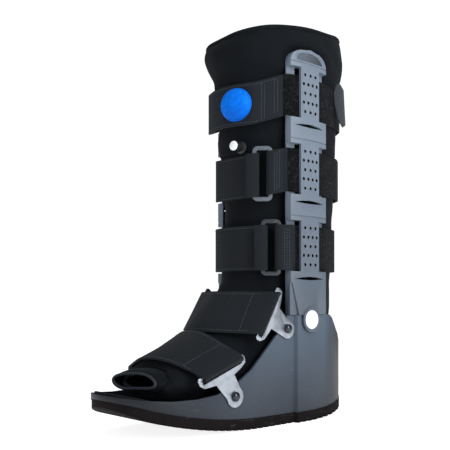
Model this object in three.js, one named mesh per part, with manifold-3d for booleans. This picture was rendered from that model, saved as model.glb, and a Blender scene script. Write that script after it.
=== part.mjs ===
import * as THREE from 'three';
import { mergeVertices } from 'three/addons/utils/BufferGeometryUtils.js';
import Module from 'manifold-3d';

// Tall air walking boot. Millimetres, +Z up, toe towards -Y, origin on the ground under the boot's middle.
// The wearer's leg goes down inside the liner, and the +X side carries the bulb, the valve and the rings.

// Overall sizes
const SOLE_LENGTH = 312;
const SOLE_WIDTH = 114;
const CALF_OVERHANG = 10.5;
const LINER_TOP = 424;
const LINER_WIDTH = 99;
const LINER_WALL = 9;
const GAP = 0.35;
const TOE_Y = -(SOLE_LENGTH + CALF_OVERHANG) / 2;
const HEEL_Y = TOE_Y + SOLE_LENGTH;

// Rocker sole
const TOE_RISE = 26;
const HEEL_RISE = 14;
const REST_LENGTH = 54;
const REST_CENTRE = HEEL_Y - 0.3814 * SOLE_LENGTH;
const BAND = 11;
const TREAD_PITCH = 9;
const TREAD_GROOVE = 3;
const TREAD_DEPTH = 2.2;

// Moulded foot shell
const SHELL_TOP = 115;
const SHELL_WALL = 3;
const SHELL_FLOOR = 4;
const SHELL_INSET = 0.5;
const CHANNEL_LEDGE = 3.2;
const INSOLE = 5;

// Side uprights
const UPRIGHT_SPAN = SOLE_WIDTH + 8;
const UPRIGHT_Y = HEEL_Y - 0.2708 * SOLE_LENGTH;
const UPRIGHT_WIDTH = 57;
const UPRIGHT_TOP = LINER_TOP - 22.5;
const UPRIGHT_RISE = UPRIGHT_TOP - SHELL_TOP;
const UPRIGHT_DEPTH = 8.3;
const FACE_RADIUS = 150;
const FACE_WALL = 3;
const FLANGE_WALL = 2;
const EDGE_WALL = 2.5;
const PLATE_WIDTH = 29;
const SLOT = 3.5;
const WINDOW_HEIGHT = 0.1902 * UPRIGHT_RISE;
const WINDOW_PITCH = 0.2873 * UPRIGHT_RISE;
const WINDOW_COUNT = 3;
const FIRST_WINDOW = 0.164 * UPRIGHT_RISE;
const HOLE_RADIUS = 2;
const HOLE_ROW_PITCH = 9.9;
const HOLE_ROWS = 5;
const TONGUE_RADIUS = 13.5;
const TONGUE_PROUD = 1.3;
const TONGUE_DROP = 5;
const BADGE_RADIUS = 10.3;
const BADGE_THICK = 0.9;

// Straps, rings and brackets
const STRAP = 2.2;
const PAD = 2.7;
const RING_BAR = 2.8;
const RING_WIDTH = 20;
const RING_OVER = 5.2;
const RING_BEND = 4.8;
const BRACKET_THICK = 1.6;
const BRACKET_BAR = 1.4;
const RIVET_RADIUS = 4.7;
const RIVET_HEIGHT = 3.2;
const EYE_RIM = 6.2;

// Air bulb and valve
const BULB_RADIUS = 16.9;
const BULB_HEIGHT = 9;
const VALVE_RADIUS = 6.4;
const VALVE_LENGTH = 9;
const VALVE_STEM = 4.5;
const VALVE_CAP = 1.6;

// Sole outline, as shares of the length from the toe and of half the width.
// The heel part stands proud of the forward part at the step.
const FORE_OUTLINE = [
  { along: 0, half: 0 },
  { along: 0.006, half: 0.28 },
  { along: 0.025, half: 0.54 },
  { along: 0.07, half: 0.78 },
  { along: 0.15, half: 0.93 },
  { along: 0.26, half: 1 },
  { along: 0.4, half: 1 },
  { along: 0.54, half: 0.975 },
  { along: 0.664, half: 0.965 },
];
const HEEL_OUTLINE = [
  { along: 0.67, half: 1.04 },
  { along: 0.82, half: 1.04 },
  { along: 0.88, half: 0.985 },
  { along: 0.93, half: 0.86 },
  { along: 0.97, half: 0.63 },
  { along: 0.992, half: 0.33 },
  { along: 1, half: 0 },
];

// Top edge of the shell, as shares of the sole's length and of the shell's height
const SHELL_EDGE = [
  { along: 0, up: 0.37 },
  { along: 0.07, up: 0.34 },
  { along: 0.15, up: 0.322 },
  { along: 0.23, up: 0.322 },
  { along: 0.31, up: 0.343 },
  { along: 0.4, up: 0.432 },
  { along: 0.46, up: 0.527 },
  { along: 0.51, up: 0.645 },
  { along: 0.575, up: 0.809 },
  { along: 0.615, up: 0.904 },
  { along: 0.635, up: 1 },
  { along: 0.84, up: 1 },
  { along: 0.856, up: 0.97 },
  { along: 0.885, up: 0.87 },
  { along: 0.907, up: 0.805 },
  { along: 0.942, up: 0.71 },
  { along: 0.974, up: 0.635 },
  { along: 1, up: 0.61 },
];

// Liner sections: front (instep or shin) and back (underfoot, heel or calf) points of each section in the
// middle plane, as shares of the sole's length from the toe and of the liner's height, with the half width as
// a share of half the liner's width. Where up is null the section stands on the insole. The lean raises the
// front of the rim on the bulb's side and lowers it on the other. A low power makes a section oval.
const LINER_SECTIONS = [
  { front: 0.192, frontUp: 0.158, back: 0.128, backUp: null, half: 0.84, power: 2.05 },
  { front: 0.237, frontUp: 0.181, back: 0.198, backUp: null, half: 0.92, power: 2.05 },
  { front: 0.311, frontUp: 0.205, back: 0.301, backUp: null, half: 0.97, power: 2.05 },
  { front: 0.38, frontUp: 0.227, back: 0.417, backUp: null, half: 0.95, power: 2.05 },
  { front: 0.42, frontUp: 0.267, back: 0.529, backUp: null, half: 0.9, power: 2.05 },
  { front: 0.468, frontUp: 0.314, back: 0.657, backUp: null, half: 0.89, power: 2.05 },
  { front: 0.506, frontUp: 0.344, back: 0.833, backUp: null, half: 0.9, power: 2.05 },
  { front: 0.532, frontUp: 0.372, back: 0.955, backUp: 0.085, half: 0.92 },
  { front: 0.542, frontUp: 0.414, back: 0.98, backUp: 0.17, half: 0.95 },
  { front: 0.554, frontUp: 0.472, back: 0.978, backUp: 0.33, half: 0.97 },
  { front: 0.564, frontUp: 0.548, back: 0.99, backUp: 0.508, half: 0.99 },
  { front: 0.553, frontUp: 0.637, back: 1.003, backUp: 0.625, half: 1 },
  { front: 0.532, frontUp: 0.73, back: 1.017, backUp: 0.736, half: 1 },
  { front: 0.505, frontUp: 0.85, back: 1.024, backUp: 0.862, half: 1 },
  { front: 0.491, frontUp: 0.932, back: 1.024, backUp: 0.965, half: 1 },
  { front: 0.47, frontUp: 0.9705, back: 1.029, backUp: 1.03, half: 1.16, lean: 11 },
];
const LINER_POWER = 2.5;
const LINER_SIDES = 20;
const ANKLE_SECTION = 7;

// Leg straps: the window each goes through, how far its middle stands below the window's, how much narrower
// it is than the window is high, how far its front dips, and how far ahead of the upright's edge the front
// part ends, the ring stands and the folded layer ends
const windowMiddle = (i) => SHELL_TOP + FIRST_WINDOW + i * WINDOW_PITCH + WINDOW_HEIGHT / 2;
const LEG_STRAPS = [
  { name: 'strap_top', window: 2, below: 3.3, narrower: 10.5, dip: 12, frontEnd: 7 },
  { name: 'strap_middle', window: 1, below: 1, narrower: 8, dip: 8, frontEnd: 7, ring: 18.5, fold: 6.5 },
  { name: 'strap_lower', window: 0, below: 1.8, narrower: 6.5, dip: 1, frontEnd: 5, ring: 12.5, fold: -4 },
].map((row) => ({
  name: row.name,
  height: windowMiddle(row.window) - row.below,
  width: WINDOW_HEIGHT - row.narrower,
  dip: row.dip,
  frontEnd: UPRIGHT_WIDTH / 2 + row.frontEnd,
  ring: UPRIGHT_WIDTH / 2 + row.ring,
  fold: UPRIGHT_WIDTH / 2 + row.fold,
}));
const STRAP_REST = 0.8;
const FOOT_STRAP_SPREAD = 2;
// The front of each leg strap laps over the end of its back part: where the lap begins, and how gently the
// front rises to it, as shares of the way from the shin to the front part's end
const LAP_FROM = 0.55;
const LAP_RISE = 0.16;

// Foot straps: each edge of the strap runs in a plane from its ridge point to its side point, given as shares
// of the sole's length from the toe and of the liner's height. The strap rests that far off the liner, taken
// over the near share of its width to each side.
const FOOT_STRAPS = [
  {
    name: 'strap_instep',
    rest: 1.2,
    near: 0.1,
    front: { ridge: 0.39, ridgeUp: 0.232, side: 0.488, sideUp: 0.228 },
    back: { ridge: 0.487, ridgeUp: 0.332, side: 0.572, sideUp: 0.33 },
  },
  {
    name: 'strap_forefoot',
    rest: 1.4,
    near: 0.2,
    front: { ridge: 0.206, ridgeUp: 0.162, side: 0.243, sideUp: 0.134 },
    back: { ridge: 0.366, ridgeUp: 0.222, side: 0.4, sideUp: 0.176 },
  },
];

const COLOUR = {
  shell: 0x77828f,
  upright: 0x99a2af,
  rubber: 0x1d181a,
  foam: 0x25282c,
  liner: 0x15181b,
  strap: 0x26292c,
  pile: 0x1b1c1e,
  steel: 0xc9cdd4,
  dark: 0x17191c,
  bulb: 0x0a74e6,
  white: 0xf1f2f3,
};

const wasm = await Module();
wasm.setup();

// Solid helpers

// The same faces with their shared corners merged and the closed-up triangles left out
function bareOf(geometry) {
  const bare = new THREE.BufferGeometry();
  bare.setAttribute('position', geometry.getAttribute('position').clone());
  if (geometry.index) bare.setIndex(geometry.index.clone());
  const merged = mergeVertices(bare, 1e-4);
  const index = merged.index;
  const kept = [];
  for (let i = 0; i < index.count; i += 3) {
    const [a, b, c] = [index.getX(i), index.getX(i + 1), index.getX(i + 2)];
    if (a !== b && b !== c && a !== c) kept.push(a, b, c);
  }
  merged.setIndex(kept);
  return merged;
}

function toSolid(geometry) {
  const merged = bareOf(geometry);
  const solid = new wasm.Manifold(new wasm.Mesh({
    numProp: 3,
    vertProperties: new Float32Array(merged.getAttribute('position').array),
    triVerts: new Uint32Array(merged.index.array),
  }));
  return solid;
}

function toGeometry(solid) {
  const mesh = solid.getMesh();
  const geometry = new THREE.BufferGeometry();
  geometry.setAttribute('position', new THREE.BufferAttribute(new Float32Array(mesh.vertProperties), 3));
  geometry.setIndex(new THREE.BufferAttribute(new Uint32Array(mesh.triVerts), 1));
  return geometry;
}

function unite(solids) {
  return solids.reduce((all, one) => all.add(one));
}

// Moves each vertex of a geometry by a function
function shapeBy(geometry, move) {
  const position = geometry.getAttribute('position');
  const point = new THREE.Vector3();
  for (let i = 0; i < position.count; i += 1) {
    point.fromBufferAttribute(position, i);
    move(point);
    position.setXYZ(i, point.x, point.y, point.z);
  }
  return geometry;
}

function shapeOf(points) {
  return new THREE.Shape(points.map(([a, b]) => new THREE.Vector2(a, b)));
}

// A plan outline in X and Y, standing between two heights
function standing(points, low, high) {
  const geometry = new THREE.ExtrudeGeometry(shapeOf(points), { depth: high - low, bevelEnabled: false });
  return geometry.translate(0, 0, low);
}

// A side outline in Y and Z, running between two places along X
function crossing(points, from, to) {
  const geometry = new THREE.ExtrudeGeometry(shapeOf(points), { depth: to - from, bevelEnabled: false });
  const turn = new THREE.Matrix4().set(0, 0, 1, from, 1, 0, 0, 0, 0, 1, 0, 0, 0, 0, 0, 1);
  return geometry.applyMatrix4(turn);
}

function box(x0, x1, y0, y1, z0, z1) {
  const geometry = new THREE.BoxGeometry(x1 - x0, y1 - y0, z1 - z0);
  return geometry.translate((x0 + x1) / 2, (y0 + y1) / 2, (z0 + z1) / 2);
}

// Joins closed rings of equal count into one skin; caps close its ends, or the last ring meets the first
function skin(rings, { looped = false, capShape = null } = {}) {
  const count = rings[0].length;
  const points = rings.flat();
  const faces = [];
  const spans = looped ? rings.length : rings.length - 1;
  for (let r = 0; r < spans; r += 1) {
    const a = r * count;
    const b = ((r + 1) % rings.length) * count;
    for (let i = 0; i < count; i += 1) {
      const j = (i + 1) % count;
      faces.push(a + i, a + j, b + j, a + i, b + j, b + i);
    }
  }
  if (!looped) {
    const flat = capShape ?? rings[0].map((p) => new THREE.Vector2(p.x, p.y));
    const caps = THREE.ShapeUtils.triangulateShape(flat, []);
    const last = (rings.length - 1) * count;
    const turned = THREE.ShapeUtils.area(flat) < 0;
    for (const [i, j, k] of caps) {
      if (turned) faces.push(i, j, k, last + i, last + k, last + j);
      else faces.push(i, k, j, last + i, last + j, last + k);
    }
  }
  const geometry = new THREE.BufferGeometry();
  const corners = points.flatMap((p) => [p.x, p.y, p.z]);
  geometry.setAttribute('position', new THREE.Float32BufferAttribute(corners, 3));
  geometry.setIndex(faces);
  return outward(geometry);
}

function volumeOf(geometry) {
  const position = geometry.getAttribute('position');
  const index = geometry.index;
  const [a, b, c] = [new THREE.Vector3(), new THREE.Vector3(), new THREE.Vector3()];
  let total = 0;
  for (let i = 0; i < index.count; i += 3) {
    a.fromBufferAttribute(position, index.getX(i));
    b.fromBufferAttribute(position, index.getX(i + 1));
    c.fromBufferAttribute(position, index.getX(i + 2));
    total += a.dot(b.cross(c)) / 6;
  }
  return total;
}

// Turns the faces round if they point inwards
function outward(geometry) {
  if (volumeOf(geometry) > 0) return geometry;
  const faces = Array.from(geometry.index.array);
  for (let i = 0; i < faces.length; i += 3) [faces[i], faces[i + 1]] = [faces[i + 1], faces[i]];
  geometry.setIndex(faces);
  return geometry;
}

function mirrored(geometry) {
  return outward(bareOf(geometry).scale(-1, 1, 1));
}

// Table helpers

const lerp = THREE.MathUtils.lerp;
const alongSole = (share) => TOE_Y + share * SOLE_LENGTH;

function smoothSide(table, count) {
  const points = table.map((row) => new THREE.Vector2((row.half * SOLE_WIDTH) / 2, alongSole(row.along)));
  return new THREE.SplineCurve(points).getPoints(count).map((p) => [Math.max(p.x, 0), p.y]);
}

// Shifts a closed outline inwards by a distance
function inset(points, distance) {
  const count = points.length;
  return points.map((point, i) => {
    const before = points[(i + count - 1) % count];
    const after = points[(i + 1) % count];
    const a = new THREE.Vector2(point[0] - before[0], point[1] - before[1]).normalize();
    const b = new THREE.Vector2(after[0] - point[0], after[1] - point[1]).normalize();
    const normal = new THREE.Vector2(-(a.y + b.y), a.x + b.x).normalize();
    const spread = Math.max(normal.dot(new THREE.Vector2(-a.y, a.x)), 0.5);
    return [point[0] + (normal.x * distance) / spread, point[1] + (normal.y * distance) / spread];
  });
}

const HALF_OUTLINE = [...smoothSide(FORE_OUTLINE, 15), ...smoothSide(HEEL_OUTLINE, 12)];
const OUTLINE = [
  ...HALF_OUTLINE,
  ...HALF_OUTLINE.slice(1, -1).reverse().map(([x, y]) => [-x, y]),
];

function halfWidthAt(y) {
  for (let i = 1; i < HALF_OUTLINE.length; i += 1) {
    const [x0, y0] = HALF_OUTLINE[i - 1];
    const [x1, y1] = HALF_OUTLINE[i];
    if (y >= y0 && y <= y1) return lerp(x0, x1, (y - y0) / (y1 - y0 || 1));
  }
  return 0;
}

// Height of the underside of the rocker sole
function treadHeight(y) {
  const front = REST_CENTRE - REST_LENGTH / 2;
  const back = REST_CENTRE + REST_LENGTH / 2;
  if (y < front) return TOE_RISE * ((front - y) / (front - TOE_Y)) ** 2;
  if (y > back) return HEEL_RISE * ((y - back) / (HEEL_Y - back)) ** 2;
  return 0;
}

const insoleTop = (y) => treadHeight(y) + BAND + SHELL_FLOOR + INSOLE + 2 * GAP;

function rockerLine(raise, count = 20, over = 2) {
  const line = [];
  for (let i = 0; i <= count; i += 1) {
    const y = lerp(TOE_Y - over, HEEL_Y + over, i / count);
    line.push([y, treadHeight(THREE.MathUtils.clamp(y, TOE_Y, HEEL_Y)) + raise]);
  }
  return line;
}

const shellEdge = SHELL_EDGE.map((row) => [alongSole(row.along), row.up * SHELL_TOP]);

function shellEdgeLine() {
  const line = shellEdge.map(([y, z]) => [y, z]);
  line[0][0] -= 2;
  line[line.length - 1][0] += 2;
  return line;
}

// Sole, shell and insole

function makeOutsole() {
  const band = crossing([...rockerLine(0), ...rockerLine(BAND - GAP).reverse()], -SOLE_WIDTH, SOLE_WIDTH);
  let sole = toSolid(band).intersect(toSolid(standing(OUTLINE, -5, TOE_RISE + 2 * BAND)));
  const grooves = [];
  const first = REST_CENTRE - TREAD_PITCH / 2;
  const start = -Math.floor((first - TOE_Y - TREAD_PITCH) / TREAD_PITCH);
  const end = Math.floor((HEEL_Y - TREAD_PITCH - first) / TREAD_PITCH);
  for (let i = start; i <= end; i += 1) {
    const y = first + i * TREAD_PITCH;
    const z = treadHeight(y);
    grooves.push(toSolid(box(-SOLE_WIDTH, SOLE_WIDTH, y - TREAD_GROOVE / 2, y + TREAD_GROOVE / 2,
      z - TREAD_PITCH, z + TREAD_DEPTH)));
  }
  sole = sole.subtract(unite(grooves));
  return toGeometry(sole);
}

function makeShell() {
  const outer = toSolid(standing(inset(OUTLINE, SHELL_INSET), 0, SHELL_TOP + 1));
  const profile = [...rockerLine(BAND), ...shellEdgeLine().reverse()];
  const side = toSolid(crossing(profile, -SOLE_WIDTH, SOLE_WIDTH));
  const inner = toSolid(standing(inset(OUTLINE, SHELL_INSET + SHELL_WALL), 0, SHELL_TOP - CHANNEL_LEDGE));
  const mouth = toSolid(standing(mouthOutline(), 0, SHELL_TOP + 2));
  const above = toSolid(crossing(
    [...rockerLine(BAND + SHELL_FLOOR), [HEEL_Y + 3, SHELL_TOP + 3], [TOE_Y - 3, SHELL_TOP + 3]],
    -SOLE_WIDTH, SOLE_WIDTH));
  return toGeometry(outer.intersect(side).subtract(inner.add(mouth).intersect(above)));
}

// Opening of the shell at its top, which leaves a ledge under each upright
function mouthOutline() {
  const reach = UPRIGHT_SPAN / 2 - UPRIGHT_DEPTH - 3;
  const inner = inset(OUTLINE, SHELL_INSET + SHELL_WALL);
  return inner.map(([x, y]) => [THREE.MathUtils.clamp(x, -reach, reach), y]);
}

function makeInsole() {
  const plan = toSolid(standing(inset(OUTLINE, SHELL_INSET + SHELL_WALL + 0.6), 0, SHELL_TOP));
  const low = BAND + SHELL_FLOOR + GAP;
  const line = [...rockerLine(low), ...rockerLine(low + INSOLE).reverse()];
  return toGeometry(plan.intersect(toSolid(crossing(line, -SOLE_WIDTH, SOLE_WIDTH))));
}

// Uprights

const FACE_X = UPRIGHT_SPAN / 2;
const BACK_X = FACE_X - UPRIGHT_DEPTH;
const windowBottom = (i) => windowMiddle(i) - WINDOW_HEIGHT / 2;

// Plan point of the upright at a distance across its width and a depth out from its back
function uprightPoint(across, out) {
  return [BACK_X + out - (across * across) / (2 * FACE_RADIUS), UPRIGHT_Y + across];
}

function curvedSlab(from, to, inner, outer, low, high, steps = 4) {
  const face = [];
  const back = [];
  for (let i = 0; i <= steps; i += 1) {
    const across = lerp(from, to, i / steps);
    face.push(uprightPoint(across, outer));
    back.push(uprightPoint(across, inner));
  }
  return toSolid(standing([...face, ...back.reverse()], low, high));
}

function uprightSilhouette() {
  const half = UPRIGHT_WIDTH / 2;
  const cornerWide = 19;
  const cornerHigh = 13;
  const arch = 1.6;
  const low = SHELL_TOP + GAP;
  const points = [[UPRIGHT_Y - half, low], [UPRIGHT_Y + half, low]];
  const steps = 5;
  for (let i = 0; i <= steps; i += 1) {
    const t = (i / steps) * Math.PI / 2;
    points.push([UPRIGHT_Y + half - cornerWide * (1 - Math.cos(t)),
      UPRIGHT_TOP - arch - cornerHigh * (1 - Math.sin(t))]);
  }
  points.push([UPRIGHT_Y, UPRIGHT_TOP]);
  for (let i = steps; i >= 0; i -= 1) {
    const t = (i / steps) * Math.PI / 2;
    points.push([UPRIGHT_Y - half + cornerWide * (1 - Math.cos(t)),
      UPRIGHT_TOP - arch - cornerHigh * (1 - Math.sin(t))]);
  }
  return points;
}

// Flat lens shape in Y and Z
function lens(centreY, centreZ, width, rise, steps = 6) {
  const points = [];
  for (let i = 0; i <= steps; i += 1) {
    const t = i / steps;
    points.push([centreY + (t - 0.5) * width, centreZ - rise * 0.35 * Math.sin(Math.PI * t)]);
  }
  for (let i = steps - 1; i > 0; i -= 1) {
    const t = i / steps;
    points.push([centreY + (t - 0.5) * width, centreZ + rise * 0.65 * Math.sin(Math.PI * t)]);
  }
  return points;
}

function holeCutters(bottom) {
  const cutters = [];
  for (let row = 0; row < HOLE_ROWS; row += 1) {
    const count = row % 2 === 0 ? 3 : 4;
    const spacing = row % 2 === 0 ? 8.3 : 6.9;
    const z = bottom + WINDOW_HEIGHT / 2 + (row - (HOLE_ROWS - 1) / 2) * HOLE_ROW_PITCH;
    for (let i = 0; i < count; i += 1) {
      const hole = new THREE.CylinderGeometry(HOLE_RADIUS, HOLE_RADIUS, 2 * UPRIGHT_DEPTH, 5);
      hole.rotateZ(Math.PI / 2);
      cutters.push(toSolid(hole.translate(FACE_X, UPRIGHT_Y + (i - (count - 1) / 2) * spacing, z)));
    }
  }
  return cutters;
}

function makeUpright() {
  const half = UPRIGHT_WIDTH / 2;
  const low = SHELL_TOP + GAP;
  const deep = UPRIGHT_DEPTH + 1;
  let body = curvedSlab(-half, half, 0, UPRIGHT_DEPTH, low, UPRIGHT_TOP);
  body = body.intersect(toSolid(crossing(uprightSilhouette(), 0, UPRIGHT_SPAN)));
  // hollow back, between the webs above and below each window
  const web = 3;
  const cuts = [];
  const hollow = [low + web];
  for (let i = 0; i < WINDOW_COUNT; i += 1) {
    hollow.push(windowBottom(i) - web, windowBottom(i) + WINDOW_HEIGHT + web);
  }
  hollow.push(UPRIGHT_TOP - 4 * web);
  for (let i = 0; i < hollow.length; i += 2) {
    cuts.push(curvedSlab(-half + EDGE_WALL, half - EDGE_WALL, -1, UPRIGHT_DEPTH - FACE_WALL,
      hollow[i], hollow[i + 1], 2));
  }
  const plate = PLATE_WIDTH / 2;
  for (let i = 0; i < WINDOW_COUNT; i += 1) {
    const z0 = windowBottom(i);
    const z1 = z0 + WINDOW_HEIGHT;
    for (const side of [-1, 1]) {
      const over = [side * (plate + SLOT), side * (half + 1)].sort((a, b) => a - b);
      const slot = [side * plate, side * (plate + SLOT)].sort((a, b) => a - b);
      cuts.push(curvedSlab(over[0], over[1], FLANGE_WALL, deep, z0, z1, 1));
      cuts.push(curvedSlab(slot[0], slot[1], -1, deep, z0, z1, 1));
    }
    cuts.push(curvedSlab(-plate - 0.5, plate + 0.5, -1, UPRIGHT_DEPTH - FACE_WALL, z0, z1, 1));
    cuts.push(...holeCutters(z0));
    // shadow gap under the arched lower lip of each window, and the step line above the window
    const lip = lens(UPRIGHT_Y, z0 - 8, UPRIGHT_WIDTH * 0.82, 3.8, 4);
    cuts.push(toSolid(crossing(lip, BACK_X + UPRIGHT_DEPTH - FACE_WALL - 2.5, FACE_X + 1)));
    cuts.push(curvedSlab(-half - 1, half + 1, UPRIGHT_DEPTH - 0.8, deep, z1 + 4.5, z1 + 5.5));
  }
  body = body.subtract(unite(cuts)).subtract(capScoop()).subtract(frontRebate());
  // round tongue that laps over the shell, with a pocket for the badge
  const tongue = disc(TONGUE_RADIUS, FACE_X - 0.7, FACE_X + TONGUE_PROUD, 16);
  const proud = FACE_X + TONGUE_PROUD;
  const pocket = disc(BADGE_RADIUS + GAP, proud - BADGE_THICK - GAP, proud + 1, 16);
  return toGeometry(body.add(tongue).subtract(pocket));
}

function disc(radius, from, to, sides) {
  const round = new THREE.CylinderGeometry(radius, radius, to - from, sides).rotateZ(Math.PI / 2);
  return toSolid(round.translate((from + to) / 2, UPRIGHT_Y + 1, SHELL_TOP - TONGUE_DROP));
}

// Dished face of the cap, deepest under its top rim
function capScoop() {
  const low = windowBottom(WINDOW_COUNT - 1) + WINDOW_HEIGHT + 7;
  const high = UPRIGHT_TOP - 4;
  const wide = UPRIGHT_WIDTH / 2 - 5;
  const points = [[UPRIGHT_Y - wide, low], [UPRIGHT_Y + wide, low]];
  for (let i = 0; i <= 6; i += 1) {
    const t = (i / 6) * Math.PI;
    points.push([UPRIGHT_Y + wide * Math.cos(t), low + (high - low) * (0.35 + 0.65 * Math.sin(t))]);
  }
  const cutter = crossing(points, FACE_X, FACE_X + 6);
  shapeBy(cutter, (p) => {
    const share = (p.z - low) / (high - low);
    const bulge = ((p.y - UPRIGHT_Y) ** 2) / (2 * FACE_RADIUS);
    if (p.x < FACE_X + 3) p.x = FACE_X + 0.4 - bulge - 2 * share;
  });
  return toSolid(cutter);
}

// Recessed strip in front of the slanted lower edge of the face
function frontRebate() {
  const half = UPRIGHT_WIDTH / 2;
  const points = [
    [UPRIGHT_Y - half - 1, SHELL_TOP - 1],
    [UPRIGHT_Y - half + 12, SHELL_TOP - 1],
    [UPRIGHT_Y - half + 2.5, SHELL_TOP + 34],
    [UPRIGHT_Y - half - 1, SHELL_TOP + 37],
  ];
  return toSolid(crossing(points, FACE_X - (half * half) / (2 * FACE_RADIUS) - 1.2, FACE_X + 2));
}

function makeBadge() {
  const outer = FACE_X + TONGUE_PROUD;
  return toGeometry(disc(BADGE_RADIUS, outer - BADGE_THICK, outer, 16));
}

// Liner

function linerSection(row, thinner = 0) {
  const front = new THREE.Vector2(alongSole(row.front), row.frontUp * LINER_TOP);
  const backY = alongSole(row.back);
  const back = new THREE.Vector2(backY, row.backUp === null ? insoleTop(backY) : row.backUp * LINER_TOP);
  const across = front.clone().sub(back);
  const deep = across.length() / 2 - thinner;
  across.normalize();
  const centre = front.clone().add(back).multiplyScalar(0.5);
  const half = (row.half * LINER_WIDTH) / 2 - thinner;
  const ring = [];
  for (let i = 0; i < LINER_SIDES; i += 1) {
    const t = (i / LINER_SIDES) * 2 * Math.PI;
    const round = (v) => Math.sign(v) * Math.abs(v) ** (2 / (row.power ?? LINER_POWER));
    const x = half * round(Math.cos(t));
    const r = deep * round(Math.sin(t));
    const lean = (row.lean ?? 0) * (x / half) * (1 + Math.sin(t)) / 2;
    ring.push(new THREE.Vector3(x, centre.x + r * across.x, centre.y + r * across.y + lean));
  }
  return ring;
}

function linerShell(rows) {
  const outer = rows.map((row) => linerSection(row));
  const inner = rows.map((row) => linerSection(row, LINER_WALL));
  return skin([...outer, ...inner.reverse()], { looped: true });
}

// The same sections, parted at the ankle seam by a small gap
function linerRows(upper) {
  const seam = { ...LINER_SECTIONS[ANKLE_SECTION] };
  if (!upper) return [...LINER_SECTIONS.slice(0, ANKLE_SECTION), seam];
  const share = (2 * GAP) / LINER_TOP;
  seam.frontUp += share;
  seam.backUp += share;
  seam.back += share;
  return [seam, ...LINER_SECTIONS.slice(ANKLE_SECTION + 1)];
}

const linerBody = new THREE.Mesh(skin(LINER_SECTIONS.map((row) => linerSection(row))),
  new THREE.MeshBasicMaterial({ side: THREE.DoubleSide }));
linerBody.updateMatrixWorld();
const ray = new THREE.Raycaster();

// Distance from an inner point to the liner's outer face
function reachOf(origin, direction) {
  ray.set(origin, direction.clone().normalize());
  const hits = ray.intersectObject(linerBody);
  return hits.length ? hits[hits.length - 1].distance : 0;
}

// Straps

// Convex hull of points in a plane, counter-clockwise
function hull(points) {
  const sorted = [...points].sort((a, b) => a[0] - b[0] || a[1] - b[1]);
  const turn = (o, a, b) => (a[0] - o[0]) * (b[1] - o[1]) - (a[1] - o[1]) * (b[0] - o[0]);
  const half = (list) => {
    const line = [];
    for (const p of list) {
      while (line.length > 1 && turn(line[line.length - 2], line[line.length - 1], p) <= 1e-6) line.pop();
      line.push(p);
    }
    return line.slice(0, -1);
  };
  return [...half(sorted), ...half(sorted.reverse())];
}

// Points at even steps along a polyline, between two distances
function evenly(line, from, to, count) {
  const lengths = [0];
  for (let i = 1; i < line.length; i += 1) {
    lengths.push(lengths[i - 1] + Math.hypot(line[i][0] - line[i - 1][0], line[i][1] - line[i - 1][1]));
  }
  const result = [];
  for (let k = 0; k <= count; k += 1) {
    const want = THREE.MathUtils.clamp(lerp(from, to, k / count), 0, lengths[lengths.length - 1]);
    let i = 1;
    while (i < line.length - 1 && lengths[i] < want) i += 1;
    const t = (want - lengths[i - 1]) / (lengths[i] - lengths[i - 1] || 1);
    result.push([lerp(line[i - 1][0], line[i][0], t), lerp(line[i - 1][1], line[i][1], t)]);
  }
  return result;
}

function lengthOf(line) {
  let total = 0;
  for (let i = 1; i < line.length; i += 1) {
    total += Math.hypot(line[i][0] - line[i - 1][0], line[i][1] - line[i - 1][1]);
  }
  return total;
}

// Closed outline of a ribbon of even thickness about a path
function thicken(path, thickness) {
  const left = [];
  const right = [];
  for (let i = 0; i < path.length; i += 1) {
    const a = path[Math.max(i - 1, 0)];
    const b = path[Math.min(i + 1, path.length - 1)];
    const along = new THREE.Vector2(b[0] - a[0], b[1] - a[1]).normalize();
    const n = [(-along.y * thickness) / 2, (along.x * thickness) / 2];
    left.push([path[i][0] + n[0], path[i][1] + n[1]]);
    right.push([path[i][0] - n[0], path[i][1] - n[1]]);
  }
  return [...left, ...right.reverse()];
}

// The taut line that a leg strap takes round the liner and over the uprights' flanges, in plan, as a list
// that starts at the middle of the shin and runs by the +X side round to it again
function legLine(strap) {
  const points = [];
  for (let i = 0; i < 80; i += 1) {
    const t = (i / 80) * 2 * Math.PI;
    const direction = new THREE.Vector3(Math.sin(t), -Math.cos(t), 0);
    let reach = 0;
    for (const level of [-0.5, 0, 0.5]) {
      const z = strap.height + level * strap.width - dipAt(strap, UPRIGHT_Y - UPRIGHT_WIDTH * Math.cos(t));
      reach = Math.max(reach, reachOf(new THREE.Vector3(0, UPRIGHT_Y, z), direction));
    }
    reach += STRAP_REST;
    points.push([direction.x * reach, UPRIGHT_Y + direction.y * reach]);
  }
  for (const side of [-1, 1]) {
    for (let i = 0; i <= 6; i += 1) {
      const [x, y] = uprightPoint(lerp(-0.5, 0.5, i / 6) * UPRIGHT_WIDTH, FLANGE_WALL + GAP);
      points.push([side * x, y]);
    }
  }
  const loop = hull(points);
  const start = loop.reduce((best, p, i) => (p[1] < loop[best][1] ? i : best), 0);
  const ring = [...loop.slice(start), ...loop.slice(0, start)];
  const front = [0, ring[0][1]];
  return [front, ...ring.filter((p) => Math.abs(p[0]) > 1 || p[1] > UPRIGHT_Y), front];
}

// A line a distance outside a leg line
function parallel(line, distance) {
  const last = line.length - 1;
  return line.map((point, i) => {
    const a = i === 0 || i === last ? [line[last - 1][0], line[0][1]] : line[i - 1];
    const b = i === 0 || i === last ? [line[1][0], line[0][1]] : line[i + 1];
    const before = new THREE.Vector2(point[0] - a[0], point[1] - a[1]).normalize();
    const after = new THREE.Vector2(b[0] - point[0], b[1] - point[1]).normalize();
    const along = before.clone().add(after).normalize();
    const spread = Math.max(along.dot(before), 0.7);
    return [point[0] + (along.y * distance) / spread, point[1] - (along.x * distance) / spread];
  });
}

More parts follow.
